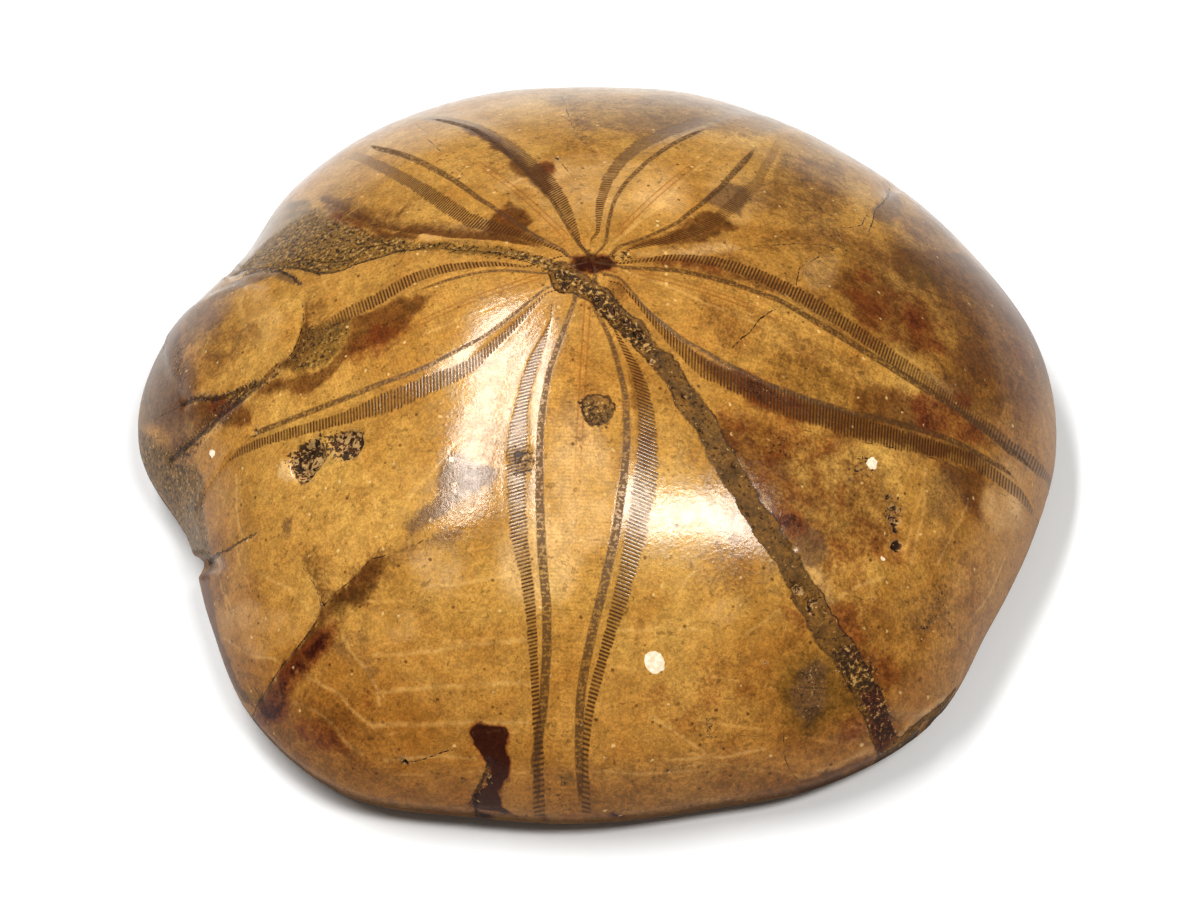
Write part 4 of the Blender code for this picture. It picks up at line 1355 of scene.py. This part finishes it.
# painted shade: the colour darkens over the rim's roll, where the edge turns under
colour = shaded(colour, math("MULTIPLY_ADD", patches, 0.1, ramp(stage, 0.93, 1.15, 0.95, 0.40)))
print("nodes so far:", len(tree.nodes))

# %% [markdown]
# Pits are dark with a few pale crumbs on their walls. Cracks are thin dark lines whose width
# wavers with the mottle.

# %% Pits and cracks
pit_mask = ramp(math("ADD", pit_here, times(uneven, 0.3)), 0.14, 0.30)
pit_colour = blend(ramp(crumbs, 0.36, 0.66), light(172, 142, 98), light(80, 50, 26))
pit_colour = blend(ramp(noise(0.9, 3.0), 0.56, 0.68), pit_colour, light(34, 21, 13))
colour = blend(times(pit_mask, 0.90), colour, pit_colour)
ragged = math("MULTIPLY_ADD", mottle, 0.14, times(math("SUBTRACT", crumbs, 0.57), crack_half, 1.3))
crack_gap = math("ADD", math("ABSOLUTE", crack_off), math("SUBTRACT", ragged, 0.03))
crack = times(ramp(crack_gap, crack_half, times(crack_half, 0.4)), ramp(crack_far, 0.9, 0.7))
colour = blend(times(crack, ramp(grain, 0.9, 0.3, 0.5, 0.9)), colour, light(52, 32, 16))
print("nodes so far:", len(tree.nodes))

# %% [markdown]
# Healed white spots lie over everything. The underside was never polished, so it is duller
# and greyer, with a grain of its own.

# %% White spots and underside
white = ramp(math("MULTIPLY_ADD", mottle, 0.16, pale_here), 0.50, 0.66)
calcite = blend(grain, light(242, 226, 206), light(226, 196, 166))
colour = blend(times(white, 0.95), colour, calcite)
dull = blend(mottle, light(150, 116, 72), light(112, 82, 48))
colour = blend(times(under, 0.75), colour, dull)
print("nodes so far:", len(tree.nodes))

# %% [markdown]
# Polish gives a low, slightly uneven roughness; sediment, pits, the rows, the worn rim and the
# underside stay matt. The bump carries what is finer than the mesh: slits, crumbs, cracks,
# healed lines and grain.

# %% Surface
gloss = ramp(mottle, 0.0, 1.0, 0.13, 0.20)
matt = math("MAXIMUM", times(sediment, 0.62), times(ramp(pit_here, 0.02, 0.12), 0.75))
matt = math("MAXIMUM", matt, times(grit_here, 0.5))
matt = math("MAXIMUM", matt, math("MAXIMUM", times(dots, 0.50), times(slits, 0.30)))
matt = math("MAXIMUM", matt, ramp(stage, 0.82, 1.20, 0.0, 0.85))

# each mark's height in the bump; what is below zero is cut in
BUMPS = (
    (slits, -0.12), (speck, 0.06), (dots, -0.10), (crack, -1.5), (healed, -0.12),
    (dark_crumb, -1.4), (pale_crumb, 0.5), (times(under, mottle), 0.8),
)
height = times(grain, 0.05)
for mark, rise in BUMPS:
    height = math("MULTIPLY_ADD", mark, rise, height)

STONE_IOR, STONE_SPECULAR = 1.52, 0.36
roughness = math("MAXIMUM", gloss, matt)
stone = finish_material(colour, roughness, height, bump_strength=0.7, bump_reach=0.10)
stone.inputs["IOR"].default_value = STONE_IOR
stone.inputs["Specular IOR Level"].default_value = STONE_SPECULAR
mesh.materials.append(material)
print("material:", len(tree.nodes), "nodes")

# %% [markdown]
# The stone stands on a wide pale floor under soft light: one large soft box high at the front
# right, whose reflection is the bright patch beside the front petal, a long narrow one high at
# the left, and a dim white sky. The picture is shown with high contrast.

# %% Floor, lights and sky
HALF_FLOOR = 3.0
floor_corners = [(x * HALF_FLOOR, y * HALF_FLOOR, 0.0) for x, y in ((-1, -1), (1, -1), (1, 1), (-1, 1))]
floor_mesh = bpy.data.meshes.new("floor")
floor_mesh.from_pydata(floor_corners, [], [(0, 1, 2, 3)])
floor = bpy.data.objects.new("floor", floor_mesh)
bpy.context.scene.collection.objects.link(floor)
material, tree, object_place = start_material("pale_floor")
paper = blend(noise(40.0), light(230, 230, 230), light(233, 233, 232))
paper_roughness = ramp(noise(3.0), 0.0, 1.0, 0.55, 0.62)
finish_material(paper, paper_roughness, noise(0.4), bump_strength=0.05, bump_reach=0.05)
floor_mesh.materials.append(material)


def soft_box(name, azimuth, up, away, roll, size, power):
    """An area light aimed at the stone; azimuth and up are degrees, azimuth from the front
    towards the right, and size is in metres."""
    lamp = bpy.data.lights.new(name, "AREA")
    lamp.shape, (lamp.size, lamp.size_y), lamp.energy = "RECTANGLE", size, power
    box = bpy.data.objects.new(name, lamp)
    a, e = np.radians(azimuth), np.radians(up)
    box.location = away * np.array([np.sin(a) * np.cos(e), -np.cos(a) * np.cos(e), np.sin(e)])
    aim = Matrix.Rotation(a, 3, "Z") @ Matrix.Rotation(np.radians(90.0 - up), 3, "X")
    box.rotation_euler = (aim @ Matrix.Rotation(np.radians(roll), 3, "Z")).to_euler()
    bpy.context.scene.collection.objects.link(box)


SKY_STRENGTH = 0.19
soft_box("key", azimuth=45.2, up=61.0, away=0.60, roll=-33.0, size=(0.25, 0.10), power=1.68)
soft_box("strip", azimuth=-102.0, up=67.0, away=0.60, roll=0.0, size=(0.50, 0.085), power=2.35)
world = bpy.data.worlds.new("white")
world.use_nodes = True
world.node_tree.nodes["Background"].inputs["Color"].default_value = (1.0, 1.0, 1.0, 1.0)
world.node_tree.nodes["Background"].inputs["Strength"].default_value = SKY_STRENGTH
bpy.context.scene.world = world
bpy.context.scene.view_settings.view_transform = "Standard"
bpy.context.scene.view_settings.look = "High Contrast"
print("two soft boxes over a floor", 2 * HALF_FLOOR, "m wide")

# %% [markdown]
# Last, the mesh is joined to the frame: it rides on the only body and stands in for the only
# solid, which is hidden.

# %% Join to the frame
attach(urchin, "root")
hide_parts(NODE)
